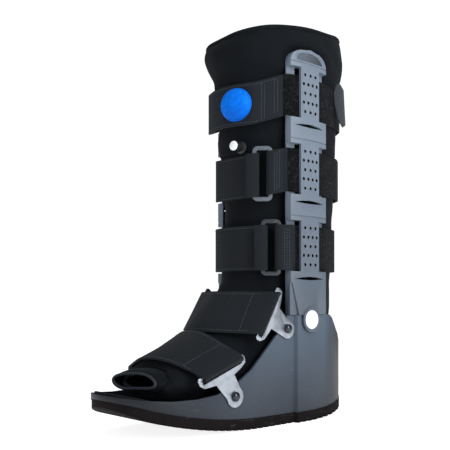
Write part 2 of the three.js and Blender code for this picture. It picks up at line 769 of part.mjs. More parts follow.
// The stretch of a line between two distances, with its own corners kept where they turn enough to matter
function stretch(line, from, to) {
  const [first] = evenly(line, from, from, 1);
  const [last] = evenly(line, to, to, 1);
  const kept = [first];
  let total = 0;
  for (let i = 1; i < line.length; i += 1) {
    total += Math.hypot(line[i][0] - line[i - 1][0], line[i][1] - line[i - 1][1]);
    if (total > from + 0.5 && total < to - 0.5) kept.push(line[i]);
  }
  kept.push(last);
  return simplified(kept, 0.12);
}

// Leaves out points that lie within a distance of the line without them
function simplified(line, within) {
  if (line.length < 3) return line;
  const [a, b] = [line[0], line[line.length - 1]];
  const long = Math.hypot(b[0] - a[0], b[1] - a[1]);
  let far = 0;
  let at = 0;
  for (let i = 1; i < line.length - 1; i += 1) {
    const off = long < 1e-6
      ? Math.hypot(line[i][0] - a[0], line[i][1] - a[1])
      : Math.abs((b[0] - a[0]) * (line[i][1] - a[1]) - (b[1] - a[1]) * (line[i][0] - a[0])) / long;
    if (off > far) [far, at] = [off, i];
  }
  if (far <= within) return [a, b];
  return [...simplified(line.slice(0, at + 1), within).slice(0, -1), ...simplified(line.slice(at), within)];
}

function dipAt(strap, y) {
  const start = UPRIGHT_Y - UPRIGHT_WIDTH / 2;
  const reach = start - alongSole(LINER_SECTIONS[12].front);
  return strap.dip * THREE.MathUtils.clamp((start - y) / reach, 0, 1);
}

// Distance along a leg line at which it first reaches a place in Y on the +X side
function distanceAtY(line, y) {
  let total = 0;
  for (let i = 1; i < line.length; i += 1) {
    const rise = line[i][1] - line[i - 1][1];
    const step = Math.hypot(line[i][0] - line[i - 1][0], rise);
    if (rise > 0 && line[i][1] >= y) return total + step * ((y - line[i - 1][1]) / rise);
    total += step;
  }
  return total;
}

// A strap that stands on edge round the leg: its plan outline, raised to its width and dipped at the front
function legRibbon(strap, path, thickness) {
  const outline = thicken(path, thickness);
  const rings = [-0.5, 0.5].map((level) => outline.map(([x, y]) => new THREE.Vector3(
    x, y, strap.height + level * strap.width - dipAt(strap, y))));
  return skin(rings, { capShape: outline.map(([x, y]) => new THREE.Vector2(x, y)) });
}

// A path that rises between two lines of equal length count, from the inner to the outer one
function steppedPath(inner, outer) {
  return inner.map((p, i) => {
    const t = i / (inner.length - 1);
    const share = THREE.MathUtils.smoothstep(t, LAP_FROM - LAP_RISE, LAP_FROM - LAP_RISE / 4);
    return [lerp(p[0], outer[i][0], share), lerp(p[1], outer[i][1], share)];
  });
}

const flip = (line) => line.map(([x, y]) => [-x, y]).reverse();

// Top strap: a pile strap round the back, through both uprights, and a webbing front that laps over its ends
function makeTopStrap(strap) {
  const base = legLine(strap);
  const inner = parallel(base, STRAP / 2);
  const total = lengthOf(inner);
  const close = parallel(base, PAD / 2);
  const over = parallel(base, STRAP + 2 * GAP + PAD / 2);
  const end = UPRIGHT_Y - strap.frontEnd;
  const lap = LAP_FROM * distanceAtY(inner, end);
  const pile = stretch(inner, lap, total - lap);
  const side = steppedPath(evenly(close, 0, distanceAtY(close, end), 11),
    evenly(over, 0, distanceAtY(over, end), 11));
  const path = [...flip(side), ...side.slice(1)];
  return { pile: legRibbon(strap, pile, STRAP), front: legRibbon(strap, path, PAD), line: close, base };
}

// Place and direction on a leg line
function frameAt(line, distance) {
  const [a, b] = evenly(line, distance - 2, distance + 2, 1);
  const [centre] = evenly(line, distance, distance, 1);
  const along = new THREE.Vector2(b[0] - a[0], b[1] - a[1]).normalize();
  return { centre, along, out: new THREE.Vector2(along.y, -along.x) };
}

const move = (frame, along, out) => [
  frame.centre[0] + frame.along.x * along + frame.out.x * out,
  frame.centre[1] + frame.along.y * along + frame.out.y * out,
];

// Half turn of a strap round a ring's bar, from the outer layer to the inner one
function foldRound(frame, side, radius, barOut, steps = 6) {
  const points = [];
  for (let i = 0; i <= steps; i += 1) {
    const t = (i / steps) * Math.PI;
    points.push(move(frame, side * (RING_WIDTH / 2 - RING_BAR / 2 - radius * Math.sin(t)),
      barOut + radius * Math.cos(t)));
  }
  return points;
}

// Ringed strap: the back strap folds round one bar of an oval ring, the front pad round the other
function makeRingedStrap(strap) {
  const base = legLine(strap);
  const line = parallel(base, STRAP / 2);
  const total = lengthOf(line);
  const at = distanceAtY(line, UPRIGHT_Y - strap.ring);
  const frame = frameAt(line, at);
  const barClear = RING_BAR * 0.75 + GAP;
  const radius = barClear + STRAP / 2;
  const reach = RING_WIDTH / 2 - RING_BAR / 2;
  // back strap: folded layer, turn round the bar, then round the leg to the far side
  const outer = parallel(base, STRAP * 1.5 + 2 * GAP);
  const foldStart = distanceAtY(outer, UPRIGHT_Y - strap.fold);
  const foldEnd = distanceAtY(outer, frame.centre[1]) + reach + 10;
  const end = UPRIGHT_Y - strap.frontEnd;
  const farEnd = total - LAP_FROM * distanceAtY(line, end);
  const backPath = [...stretch(outer, foldEnd, foldStart).reverse(), move(frame, reach + 3, 2 * radius - 0.4),
    ...foldRound(frame, 1, radius, radius),
    ...stretch(line, at + reach + 3, farEnd)];
  // front pad: short hem, turn round the other bar, then across the shin and over the far end
  const close = parallel(base, PAD / 2);
  const over = parallel(base, STRAP + 2 * GAP + PAD / 2);
  const closeAt = distanceAtY(close, frame.centre[1]);
  const padRadius = barClear + PAD / 2;
  const lift = padRadius + (PAD - STRAP) / 2;
  const hem = [move(frame, -reach - 9, 2 * lift - 0.8), move(frame, -reach - 4, 2 * lift)];
  const mid = stretch(close, 0, closeAt - reach - 4).reverse();
  const far = steppedPath(evenly(close, 0, distanceAtY(close, end), 11),
    evenly(over, 0, distanceAtY(over, end), 11));
  const padPath = [...hem, ...foldRound(frame, -1, padRadius, lift), ...mid.slice(0, -1),
    ...far.map(([x, y]) => [-x, y])];
  return {
    back: legRibbon(strap, backPath, STRAP),
    front: legRibbon(strap, padPath, PAD),
    ring: makeRing(strap, frame, radius),
  };
}

// Oval ring that stands in the strap, its bars upright
function makeRing(strap, frame, out) {
  const tall = strap.width / 2 + RING_OVER;
  const oval = (wide, high, bend) => {
    const path = new THREE.Path();
    path.absarc(wide - bend, high - bend, bend, 0, Math.PI / 2);
    path.absarc(bend - wide, high - bend, bend, Math.PI / 2, Math.PI);
    path.absarc(bend - wide, bend - high, bend, Math.PI, 1.5 * Math.PI);
    path.absarc(wide - bend, bend - high, bend, 1.5 * Math.PI, 2 * Math.PI);
    return path.getPoints(2).slice(0, -1);
  };
  const shape = new THREE.Shape(oval(RING_WIDTH / 2, tall, RING_BEND));
  shape.holes.push(new THREE.Path(oval(RING_WIDTH / 2 - RING_BAR, tall - RING_BAR, RING_BEND - RING_BAR)));
  const ring = new THREE.ExtrudeGeometry(shape, { depth: RING_BAR, bevelEnabled: false });
  ring.translate(0, 0, -RING_BAR / 2);
  const [x, y] = move(frame, 0, out);
  const turn = new THREE.Matrix4().makeBasis(
    new THREE.Vector3(frame.along.x, frame.along.y, 0),
    new THREE.Vector3(0, 0, 1),
    new THREE.Vector3(frame.out.x, frame.out.y, 0));
  ring.applyMatrix4(turn);
  return ring.translate(x, y, strap.height - dipAt(strap, y));
}

// Foot straps and their brackets

function lerpEdge(strap, v) {
  const pick = (key) => lerp(strap.front[key], strap.back[key], v);
  return {
    ridge: new THREE.Vector2(alongSole(pick('ridge')), pick('ridgeUp') * LINER_TOP),
    side: new THREE.Vector2(alongSole(pick('side')), pick('sideUp') * LINER_TOP),
  };
}

// X of the outer face of the shell wall that carries a bracket
function bracketX(strap) {
  const { side } = lerpEdge(strap, 0.5);
  return Math.max(halfWidthAt(side.x), halfWidthAt(side.x + 30)) - SHELL_INSET + GAP;
}

// One station of a foot strap: its outline in the plane through X and the edge's direction
function footStation(strap, v) {
  const { ridge, side } = lerpEdge(strap, v);
  const up = ridge.clone().sub(side);
  const deep = up.length();
  up.normalize();
  const edge = lerpEdge(strap, 1).side.sub(lerpEdge(strap, 0).side).normalize();
  const square = new THREE.Vector2(-edge.y, edge.x);
  const points = [];
  for (let i = 0; i <= 24; i += 1) {
    const t = (i / 24) * Math.PI;
    const direction = new THREE.Vector3(Math.cos(t), Math.sin(t) * up.x, Math.sin(t) * up.y);
    const reach = Math.max(...[-strap.near, 0, strap.near].map((near) => {
      const from = lerpEdge(strap, v + near).side;
      return reachOf(new THREE.Vector3(0, from.x, from.y), direction);
    })) + strap.rest + STRAP / 2;
    points.push([Math.cos(t) * reach, Math.sin(t) * reach]);
  }
  const barX = bracketX(strap) + BRACKET_THICK / 2;
  const radius = Math.hypot(BRACKET_THICK / 2, BRACKET_BAR) + 2 * GAP + STRAP / 2;
  const spread = FOOT_STRAP_SPREAD / 2;
  const outermost = barX + radius + 2 * spread;
  const past = BRACKET_BAR + 1;
  const top = hull([...points.filter((p) => p[1] > 2), [outermost, past], [-outermost, past],
    [outermost, 0], [-outermost, 0], [0, -deep]]);
  const arch = top.filter((p) => p[1] > -1).sort((a, b) => Math.atan2(a[1], a[0]) - Math.atan2(b[1], b[0]));
  const spine = evenly(arch, 0, lengthOf(arch), 16);
  const turn = [];
  for (let i = 0; i <= 4; i += 1) {
    const t = (i / 4) * Math.PI;
    turn.push([barX + spread + (radius + spread) * Math.cos(t), -radius * Math.sin(t)]);
  }
  const right = turn.slice(1).reverse();
  const path = [[right[0][0] - 0.3, 5], ...right, ...spine, ...right.map(([x, y]) => [-x, y]).reverse(),
    [-right[0][0] + 0.3, 5]];
  const outline = thicken(path, STRAP);
  return {
    flat: outline.map(([a, b]) => new THREE.Vector2(a, b)),
    ring: outline.map(([a, b]) => {
      const way = b < 0 ? square : up;
      return new THREE.Vector3(a, side.x + b * way.x, side.y + b * way.y);
    }),
  };
}

function makeFootStrap(strap) {
  const stations = [0, 0.5, 1].map((v) => footStation(strap, v));
  return skin(stations.map((s) => s.ring), { capShape: stations[0].flat });
}

// Stamped plate riveted to the shell: a round eye, a neck and a wide slotted head, whose thin bar holds
// the strap
function makeBracket(strap, eye) {
  const edge0 = lerpEdge(strap, 0).side;
  const edge1 = lerpEdge(strap, 1).side;
  const along = edge1.clone().sub(edge0);
  const half = along.length() / 2;
  along.normalize();
  const outwards = new THREE.Vector2(along.y, -along.x);
  const centre = edge0.clone().add(edge1).multiplyScalar(0.5);
  const place = ([a, b]) => [
    centre.x + along.x * a + outwards.x * b,
    centre.y + along.y * a + outwards.y * b,
  ];
  const eyeLocal = (() => {
    const d = new THREE.Vector2(eye[0] - centre.x, eye[1] - centre.y);
    return [d.dot(along), d.dot(outwards)];
  })();
  const eyeRadius = RIVET_RADIUS + EYE_RIM;
  const bar = BRACKET_BAR;
  const slotFar = 6.5;
  const end = half + 1.4;
  const outline = [
    [-end - 3, -bar], [-end - 4.6, 1.5], [-end - 3.6, 6], [-end + 1, 10.4],
    ...(eyeLocal[0] > 0 ? [[-half + 14, 13.5]] : [[-half + 8, 13]]),
    ...eyeArc(eyeLocal, eyeRadius),
    [13.2, 13], [end - 4, 10.5], [end + 3.4, 7.5], [end + 4.6, 2], [end + 3, -bar],
  ];
  const slot = [[-half - 0.8, bar], [half + 0.8, bar], [half + 0.8, slotFar], [-half - 0.8, slotFar]];
  const shape = shapeOf(outline.map(place));
  shape.holes.push(new THREE.Path(slot.map(place).map(([a, b]) => new THREE.Vector2(a, b))));
  shape.holes.push(new THREE.Path().absarc(eye[0], eye[1], RIVET_RADIUS * 0.5 + GAP, 0, 2 * Math.PI));
  const x = bracketX(strap);
  const drawn = { depth: BRACKET_THICK, bevelEnabled: false, curveSegments: 5 };
  const plate = new THREE.ExtrudeGeometry(shape, drawn);
  const turn = new THREE.Matrix4().set(0, 0, 1, x, 1, 0, 0, 0, 0, 1, 0, 0, 0, 0, 0, 1);
  return plate.applyMatrix4(turn);
}

function eyeArc([a, b], radius) {
  const points = [];
  for (let i = 0; i <= 8; i += 1) {
    const t = Math.PI * (1.06 - (1.26 * i) / 8);
    points.push([a + radius * Math.cos(t), b + radius * Math.sin(t)]);
  }
  return points;
}

// Domed rivet through the bracket's eye
function makeRivet(x, eye) {
  const profile = [new THREE.Vector2(0, 0.02), new THREE.Vector2(RIVET_RADIUS * 0.5, 0.02),
    new THREE.Vector2(RIVET_RADIUS * 0.5, BRACKET_THICK + GAP)];
  for (let i = 0; i <= 3; i += 1) {
    const t = (i / 3) * (Math.PI / 2);
    const high = BRACKET_THICK + GAP + 0.3 + RIVET_HEIGHT * Math.sin(t);
    profile.push(new THREE.Vector2(RIVET_RADIUS * Math.cos(t), high));
  }
  profile[profile.length - 1].x = 0;
  const rivet = new THREE.LatheGeometry(profile, 8);
  rivet.rotateZ(-Math.PI / 2);
  return outward(bareOf(rivet.translate(x, eye[0], eye[1])));
}

// Turned piece on an axis that leaves the liner at a compass angle from -Y towards +X
function turned(profile, sides, place, angle) {
  const lathe = bareOf(new THREE.LatheGeometry(profile.map(([r, h]) => new THREE.Vector2(r, h)), sides));
  const out = new THREE.Vector3(Math.sin(angle), -Math.cos(angle), 0);
  const aside = new THREE.Vector3(Math.cos(angle), Math.sin(angle), 0);
  lathe.applyMatrix4(new THREE.Matrix4().makeBasis(aside, out, new THREE.Vector3(0, 0, 1)));
  lathe.translate(place.x, place.y, place.z);
  return outward(lathe);
}

const group = new THREE.Group();

function addPiece(name, geometry, colour, roughness, metalness = 0) {
  const material = new THREE.MeshStandardMaterial({ color: colour, roughness, metalness });
  const mesh = new THREE.Mesh(geometry, material);
  mesh.name = name;
  group.add(mesh);
}

addPiece('outsole', makeOutsole(), COLOUR.rubber, 0.85);
addPiece('shell', makeShell(), COLOUR.shell, 0.45);
addPiece('insole', makeInsole(), COLOUR.foam, 0.9);

const upright = makeUpright();
const badge = makeBadge();
addPiece('upright_near', upright, COLOUR.upright, 0.45);
addPiece('upright_far', mirrored(upright), COLOUR.upright, 0.45);
addPiece('badge_near', badge, COLOUR.white, 0.5);
addPiece('badge_far', mirrored(badge), COLOUR.white, 0.5);

addPiece('liner_foot', linerShell(linerRows(false)), COLOUR.liner, 0.95);
addPiece('liner_leg', linerShell(linerRows(true)), COLOUR.liner, 0.95);

// Toe sleeve: the soft inner flap that stands out of the liner's toe opening
const SLEEVE_WALL = 2.6;
const SLEEVE_INSET = 4;
const SLEEVE = [
  { ahead: GAP * 2, narrower: 0 },
  { ahead: 12, narrower: 1.5 },
  { ahead: 20, narrower: 4 },
];

function sleeveRing(row, thinner) {
  const opening = LINER_SECTIONS[0];
  const y = alongSole(opening.back);
  const rise = insoleTop(y - row.ahead) - insoleTop(y);
  return linerSection(opening, SLEEVE_INSET + row.narrower + thinner)
    .map((p) => new THREE.Vector3(p.x, p.y - row.ahead, p.z + rise));
}

const sleeveOuter = SLEEVE.map((row) => sleeveRing(row, 0));
const sleeveInner = SLEEVE.map((row) => sleeveRing(row, SLEEVE_WALL)).reverse();
addPiece('toe_sleeve', skin([...sleeveOuter, ...sleeveInner], { looped: true }), COLOUR.liner, 0.95);

// Bulb on the top strap, and the hole that the webbing has for it
const topStrap = makeTopStrap(LEG_STRAPS[0]);
const BULB_ANGLE = THREE.MathUtils.degToRad(20);
const BULB_X = 17.5;
const bulbFrame = frameAt(topStrap.line, distanceAtX(topStrap.line, BULB_X));

// Distance along a leg line at which it first reaches a place in X on the +X side
function distanceAtX(line, x) {
  let total = 0;
  for (let i = 1; i < line.length; i += 1) {
    const run = line[i][0] - line[i - 1][0];
    const step = Math.hypot(run, line[i][1] - line[i - 1][1]);
    if (line[i][0] >= x) return total + step * ((x - line[i - 1][0]) / run);
    total += step;
  }
  return total;
}

function bulbPlace(out) {
  const [x, y] = move(bulbFrame, 0, out);
  return new THREE.Vector3(x, y, LEG_STRAPS[0].height - dipAt(LEG_STRAPS[0], bulbFrame.centre[1]));
}

const bulbHole = [[0, -BULB_RADIUS], [BULB_RADIUS + GAP, -BULB_RADIUS], [BULB_RADIUS + GAP, BULB_RADIUS],
  [0, BULB_RADIUS]];
const bulbCut = toSolid(turned(bulbHole, 20, bulbPlace(0), BULB_ANGLE));
addPiece('strap_top_pile', topStrap.pile, COLOUR.pile, 0.95);
addPiece('strap_top_front', toGeometry(toSolid(topStrap.front).subtract(bulbCut)), COLOUR.strap, 0.8);

const bulbProfile = [[0, 0]];
for (let i = 0; i <= 5; i += 1) {
  const t = (i / 5) * (Math.PI / 2);
  const high = i === 0 ? PAD * 0.6 : PAD + BULB_HEIGHT * Math.sin(t);
  bulbProfile.push([i === 5 ? 0 : BULB_RADIUS * Math.cos(t), high]);
}
bulbProfile.splice(1, 0, [BULB_RADIUS, 0]);
addPiece('pump_bulb', turned(bulbProfile, 18, bulbPlace(-PAD / 2 + 0.4), BULB_ANGLE), COLOUR.bulb, 0.4);

// Pull tab on the top strap behind the near upright: a plate that leaves the leg sideways, as places across
// and above the strap's middle, from its root near the upright to its free edge
const TAB_FACING = THREE.MathUtils.degToRad(48);
const TAB_ACROSS = 117.5;
const TAB = [
  { across: 3.7, up: 16 },
  { across: 5.5, up: 24 },
  { across: 8.5, up: 28 },
  { across: 12, up: 26.5 },
  { across: 15.5, up: 20 },
  { across: 17.5, up: -20 },
  { across: 14, up: -22.5 },
  { across: 9, up: -14 },
  { across: 5, up: 4 },
];

function makeTab(strap) {
  const aside = new THREE.Vector3(Math.cos(TAB_FACING), Math.sin(TAB_FACING), 0);
  const out = new THREE.Vector3(Math.sin(TAB_FACING), -Math.cos(TAB_FACING), 0);
  const line = parallel(topStrap.base, STRAP + 2 * GAP);
  const over = evenly(line, 0, lengthOf(line), 200).map(([x, y]) => new THREE.Vector3(x, y, 0));
  const root = TAB_ACROSS + TAB[0].across - 0.4;
  const behind = over.filter((p) => p.y > UPRIGHT_Y && p.x > 0 && p.dot(aside) > root);
  const stand = Math.max(...behind.map((p) => p.dot(out)));
  const shape = shapeOf(TAB.map((row) => [row.across, row.up]));
  const plate = new THREE.ExtrudeGeometry(shape, { depth: STRAP, bevelEnabled: false });
  plate.applyMatrix4(new THREE.Matrix4().makeBasis(aside, new THREE.Vector3(0, 0, 1), out));
  const place = aside.clone().multiplyScalar(TAB_ACROSS).add(out.multiplyScalar(stand));
  return plate.translate(place.x, place.y, strap.height);
}

addPiece('strap_top_tab', makeTab(LEG_STRAPS[0]), COLOUR.strap, 0.8);

for (const strap of LEG_STRAPS.slice(1)) {
  const made = makeRingedStrap(strap);
  addPiece(`${strap.name}_back`, made.back, COLOUR.pile, 0.95);
  addPiece(`${strap.name}_front`, made.front, COLOUR.strap, 0.9);
  addPiece(`${strap.name.replace('strap', 'ring')}`, made.ring, COLOUR.shell, 0.4);
}

// Foot straps with a bracket and a rivet on each side of the shell
const EYES = {
  strap_instep: [alongSole(0.627), SHELL_TOP - 14],
  strap_forefoot: [alongSole(0.38), SHELL_TOP - 79],
};

for (const strap of FOOT_STRAPS) {
  const place = strap.name.replace('strap_', '');
  const bracket = makeBracket(strap, EYES[strap.name]);
  const rivet = makeRivet(bracketX(strap), EYES[strap.name]);
  addPiece(strap.name, makeFootStrap(strap), COLOUR.strap, 0.9);
  addPiece(`bracket_${place}_near`, bracket, COLOUR.steel, 0.3, 1);
  addPiece(`bracket_${place}_far`, mirrored(bracket), COLOUR.steel, 0.3, 1);
  addPiece(`rivet_${place}_near`, rivet, COLOUR.dark, 0.25, 0.9);
  addPiece(`rivet_${place}_far`, mirrored(rivet), COLOUR.dark, 0.25, 0.9);
}

// Air valve on the shin: a stem, a knurled collar that turns, and its white cap
const VALVE_ANGLE = THREE.MathUtils.degToRad(10);
const VALVE_X = 14;
const VALVE_Z = LEG_STRAPS[1].height + 24.7;
const valveFrom = new THREE.Vector3(VALVE_X, UPRIGHT_Y, VALVE_Z);
const valveReach = reachOf(valveFrom, new THREE.Vector3(0, -1, 0));
const valveBase = new THREE.Vector3(VALVE_X, UPRIGHT_Y - valveReach - 1.4, VALVE_Z);
const stem = [[0, -0.1], [VALVE_RADIUS + 0.4, -0.1], [VALVE_RADIUS + 0.4, 1.3], [VALVE_RADIUS - 2.5, 1.8],
  [VALVE_RADIUS - 2.5, VALVE_STEM], [0, VALVE_STEM]];
const knob = [[0, VALVE_STEM + GAP], [VALVE_RADIUS - 0.7, VALVE_STEM + GAP], [VALVE_RADIUS, VALVE_STEM + 1],
  [VALVE_RADIUS, VALVE_STEM + VALVE_LENGTH - 1], [VALVE_RADIUS - 0.7, VALVE_STEM + VALVE_LENGTH],
  [0, VALVE_STEM + VALVE_LENGTH]];
const capLow = VALVE_STEM + VALVE_LENGTH + GAP;
const cap = [[0, capLow], [VALVE_RADIUS - 0.5, capLow], [VALVE_RADIUS - 0.5, capLow + VALVE_CAP - 0.5],
  [VALVE_RADIUS - 1.3, capLow + VALVE_CAP], [0, capLow + VALVE_CAP]];
addPiece('valve_stem', turned(stem, 12, valveBase, VALVE_ANGLE), COLOUR.dark, 0.5);
addPiece('valve_collar', turned(knob, 14, valveBase, VALVE_ANGLE), COLOUR.dark, 0.5);
addPiece('valve_cap', turned(cap, 14, valveBase, VALVE_ANGLE), COLOUR.white, 0.4);

export default group;
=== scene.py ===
import bpy
import bmesh
from math import atan2, cos, degrees, pi, radians, sin
from mathutils import Matrix, Vector, noise
from mathutils.bvhtree import BVHTree


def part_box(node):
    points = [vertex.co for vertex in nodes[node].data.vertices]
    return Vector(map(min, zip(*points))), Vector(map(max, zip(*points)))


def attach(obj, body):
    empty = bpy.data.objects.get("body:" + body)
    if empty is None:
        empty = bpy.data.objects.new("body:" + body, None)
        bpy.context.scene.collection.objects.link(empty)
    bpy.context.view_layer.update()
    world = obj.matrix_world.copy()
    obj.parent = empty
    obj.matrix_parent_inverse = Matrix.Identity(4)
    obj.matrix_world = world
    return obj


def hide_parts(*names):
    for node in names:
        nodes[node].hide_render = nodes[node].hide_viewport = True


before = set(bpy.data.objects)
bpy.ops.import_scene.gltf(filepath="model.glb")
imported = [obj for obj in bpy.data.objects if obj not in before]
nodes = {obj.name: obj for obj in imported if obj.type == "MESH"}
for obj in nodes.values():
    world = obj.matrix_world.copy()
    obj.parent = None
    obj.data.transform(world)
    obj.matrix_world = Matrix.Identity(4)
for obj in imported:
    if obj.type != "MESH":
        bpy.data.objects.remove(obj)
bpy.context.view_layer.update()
MM = 0.001

# Camera, at the photograph's place

CAMERA_TURN = radians(48)
CAMERA_DISTANCE = 0.800
CAMERA_HEIGHT = 0.1345
AIM_Y = -0.00375
camera_data = bpy.data.cameras.new("camera")
camera_data.sensor_width = 36
camera_data.lens = 59.2
camera_data.shift_y = 0.16
camera = bpy.data.objects.new("camera", camera_data)
camera.location = (
    CAMERA_DISTANCE * sin(CAMERA_TURN),
    AIM_Y - CAMERA_DISTANCE * cos(CAMERA_TURN),
    CAMERA_HEIGHT,
)
camera.rotation_euler = (pi / 2, 0, CAMERA_TURN)
bpy.context.scene.collection.objects.link(camera)
bpy.context.scene.camera = camera
bpy.context.scene.view_settings.view_transform = "Standard"

# Studio: pale floor, white surroundings, a broad key light from the right and fills


def soft_light(name, place, aim, size, watts, colour=(1, 1, 1)):
    data = bpy.data.lights.new(name, "AREA")
    data.shape = "RECTANGLE"
    data.size, data.size_y = size
    data.energy = watts
    data.color = colour
    lamp = bpy.data.objects.new(name, data)
    lamp.location = place
    lamp.rotation_euler = (Vector(aim) - Vector(place)).to_track_quat("-Z", "Y").to_euler()
    bpy.context.scene.collection.objects.link(lamp)


soft_light("key_right", (1.5, 0.1, 0.8), (0, 0.05, 0.22), (0.8, 1.2), 21, (0.93, 0.96, 1))
soft_light("fill_front", (0.3, -1.6, 0.9), (0, 0, 0.2), (1.2, 1.0), 4.5, (0.95, 0.97, 1))
soft_light("top", (0.1, -0.2, 1.7), (0, 0, 0.2), (1.4, 1.4), 7)
soft_light("rim_back", (-0.9, 1.3, 0.9), (0, 0.05, 0.25), (0.8, 1.2), 5, (0.95, 0.97, 1))

world = bpy.data.worlds.new("surroundings")
bpy.context.scene.world = world
world.use_nodes = True
tree = world.node_tree
tree.nodes.clear()
seen = tree.nodes.new("ShaderNodeBackground")
seen.inputs["Color"].default_value = (1, 1, 1, 1)
seen.inputs["Strength"].default_value = 1.05
felt = tree.nodes.new("ShaderNodeBackground")
felt.inputs["Color"].default_value = (0.86, 0.92, 1, 1)
felt.inputs["Strength"].default_value = 0.26
path = tree.nodes.new("ShaderNodeLightPath")
either = tree.nodes.new("ShaderNodeMixShader")
out = tree.nodes.new("ShaderNodeOutputWorld")
tree.links.new(path.outputs["Is Camera Ray"], either.inputs[0])
tree.links.new(felt.outputs[0], either.inputs[1])
tree.links.new(seen.outputs[0], either.inputs[2])
tree.links.new(either.outputs[0], out.inputs[0])

# Finishes


def new_material(name, rough=0.5, metal=0.0, **sockets):
    material = bpy.data.materials.new(name)
    material.use_nodes = True
    shader = material.node_tree.nodes["Principled BSDF"]
    shader.inputs["Roughness"].default_value = rough
    shader.inputs["Metallic"].default_value = metal
    for key, value in sockets.items():
        shader.inputs[key.replace("_", " ")].default_value = value
    return material, shader


def new_group(name, inputs):
    group = bpy.data.node_groups.new(name, "ShaderNodeTree")
    for label, kind, value in inputs:
        socket = group.interface.new_socket(name=label, in_out="INPUT", socket_type="NodeSocket" + kind)
        socket.default_value = value
    for label, kind in (("Colour", "Color"), ("Roughness", "Float"), ("Normal", "Vector")):
        group.interface.new_socket(name=label, in_out="OUTPUT", socket_type="NodeSocket" + kind)
    start = group.nodes.new("NodeGroupInput")
    end = group.nodes.new("NodeGroupOutput")
    place = group.nodes.new("ShaderNodeTexCoord")
    return group, start, end, place.outputs["Object"]


class Wiring:
    """Short calls for the nodes of one group."""

    def __init__(self, group):
        self.nodes = group.nodes
        self.links = group.links

    def put(self, socket, value):
        if isinstance(value, bpy.types.NodeSocket):
            self.links.new(value, socket)
        else:
            socket.default_value = value

    def math(self, operation, a, b=0.0):
        node = self.nodes.new("ShaderNodeMath")
        node.operation = operation
        self.put(node.inputs[0], a)
        self.put(node.inputs[1], b)
        return node.outputs[0]

    def noise(self, place, scale, detail=2.0, rough=0.5, squeeze=None):
        if squeeze:
            turn = self.nodes.new("ShaderNodeMapping")
            self.put(turn.inputs["Vector"], place)
            turn.inputs["Scale"].default_value = squeeze
            place = turn.outputs[0]
        node = self.nodes.new("ShaderNodeTexNoise")
        self.put(node.inputs["Vector"], place)
        self.put(node.inputs["Scale"], scale)
        node.inputs["Detail"].default_value = detail
        node.inputs["Roughness"].default_value = rough
        return node.outputs["Fac"]

    def span(self, value, low, high, to_low=0.0, to_high=1.0):
        node = self.nodes.new("ShaderNodeMapRange")
        self.put(node.inputs["Value"], value)
        for key, amount in (("From Min", low), ("From Max", high), ("To Min", to_low), ("To Max", to_high)):
            self.put(node.inputs[key], amount)
        return node.outputs["Result"]

    def blend(self, share, a, b):
        node = self.nodes.new("ShaderNodeMix")
        node.data_type = "RGBA"
        self.put(node.inputs["Factor"], share)
        self.put(node.inputs[6], a)
        self.put(node.inputs[7], b)
        return node.outputs[2]

    def bump(self, height, distance, strength=1.0):
        node = self.nodes.new("ShaderNodeBump")
        self.put(node.inputs["Height"], height)
        self.put(node.inputs["Strength"], strength)
        self.put(node.inputs["Distance"], distance)
        return node.outputs[0]

    def axes(self, place):
        node = self.nodes.new("ShaderNodeSeparateXYZ")
        self.put(node.inputs[0], place)
        return node.outputs


def moulded_group():
    """Moulded plastic: a tone that falls towards the sole and towards the back and the toe, mostly as
    painted shade, with cloudy moulding marks, fine grain and scuffs.
    """
    group, start, end, place = new_group("moulded_plastic", (
        ("Light", "Color", (0.2, 0.2, 0.2, 1)), ("Dark", "Color", (0.1, 0.1, 0.1, 1)),
        ("Dark from", "Float", 0.0), ("Light from", "Float", 0.1), ("Back shade from", "Float", 0.2),
        ("Rough", "Float", 0.45), ("Mottle", "Float", 0.0), ("Front shade from", "Float", -1.0)))
    w = Wiring(group)
    axes = w.axes(place)
    blotch = w.span(w.noise(place, 380, 3, 0.7), 0.35, 0.65)
    cloud = w.noise(place, 22, 3, 0.55)
    grain = w.noise(place, 1500, 2, 0.6)
    scuff = w.span(w.noise(place, 60, 4, 0.7, (1, 1, 6)), 0.62, 0.75)
    # painted shade: the tone darkens towards the sole, towards the back and towards the toe
    height = w.math("ADD", axes[2], w.math("MULTIPLY", w.math("SUBTRACT", cloud, 0.5), 0.03))
    lit_with_height = w.span(height, start.outputs["Dark from"], start.outputs["Light from"])
    forward = w.span(axes[1], w.math("ADD", start.outputs["Back shade from"], 0.03), start.outputs["Back shade from"])
    plain = w.math("SUBTRACT", 1.0, w.math("MULTIPLY", blotch, start.outputs["Mottle"]))
    front = start.outputs["Front shade from"]
    ahead = w.span(axes[1], w.math("SUBTRACT", front, 0.1), front)
    lit = w.math("MULTIPLY", w.math("MULTIPLY", lit_with_height, forward), ahead)
    share = w.math("MULTIPLY", lit, plain)
    tone = w.blend(share, start.outputs["Dark"], start.outputs["Light"])
    speck = w.blend(w.span(grain, 0.3, 0.7, 0.0, 0.35), tone, w.blend(0.5, tone, start.outputs["Light"]))
    marked = w.blend(w.math("MULTIPLY", scuff, 0.07), speck, (0.55, 0.58, 0.62, 1))
    w.put(end.inputs["Colour"], marked)
    rough = w.math("ADD", start.outputs["Rough"], w.math("MULTIPLY", cloud, 0.16))
    w.put(end.inputs["Roughness"], w.math("ADD", rough, w.math("MULTIPLY", scuff, 0.15)))
    w.put(end.inputs["Normal"], w.bump(w.math("ADD", grain, w.math("MULTIPLY", cloud, 1.5)), 0.00012, 0.5))
    return group


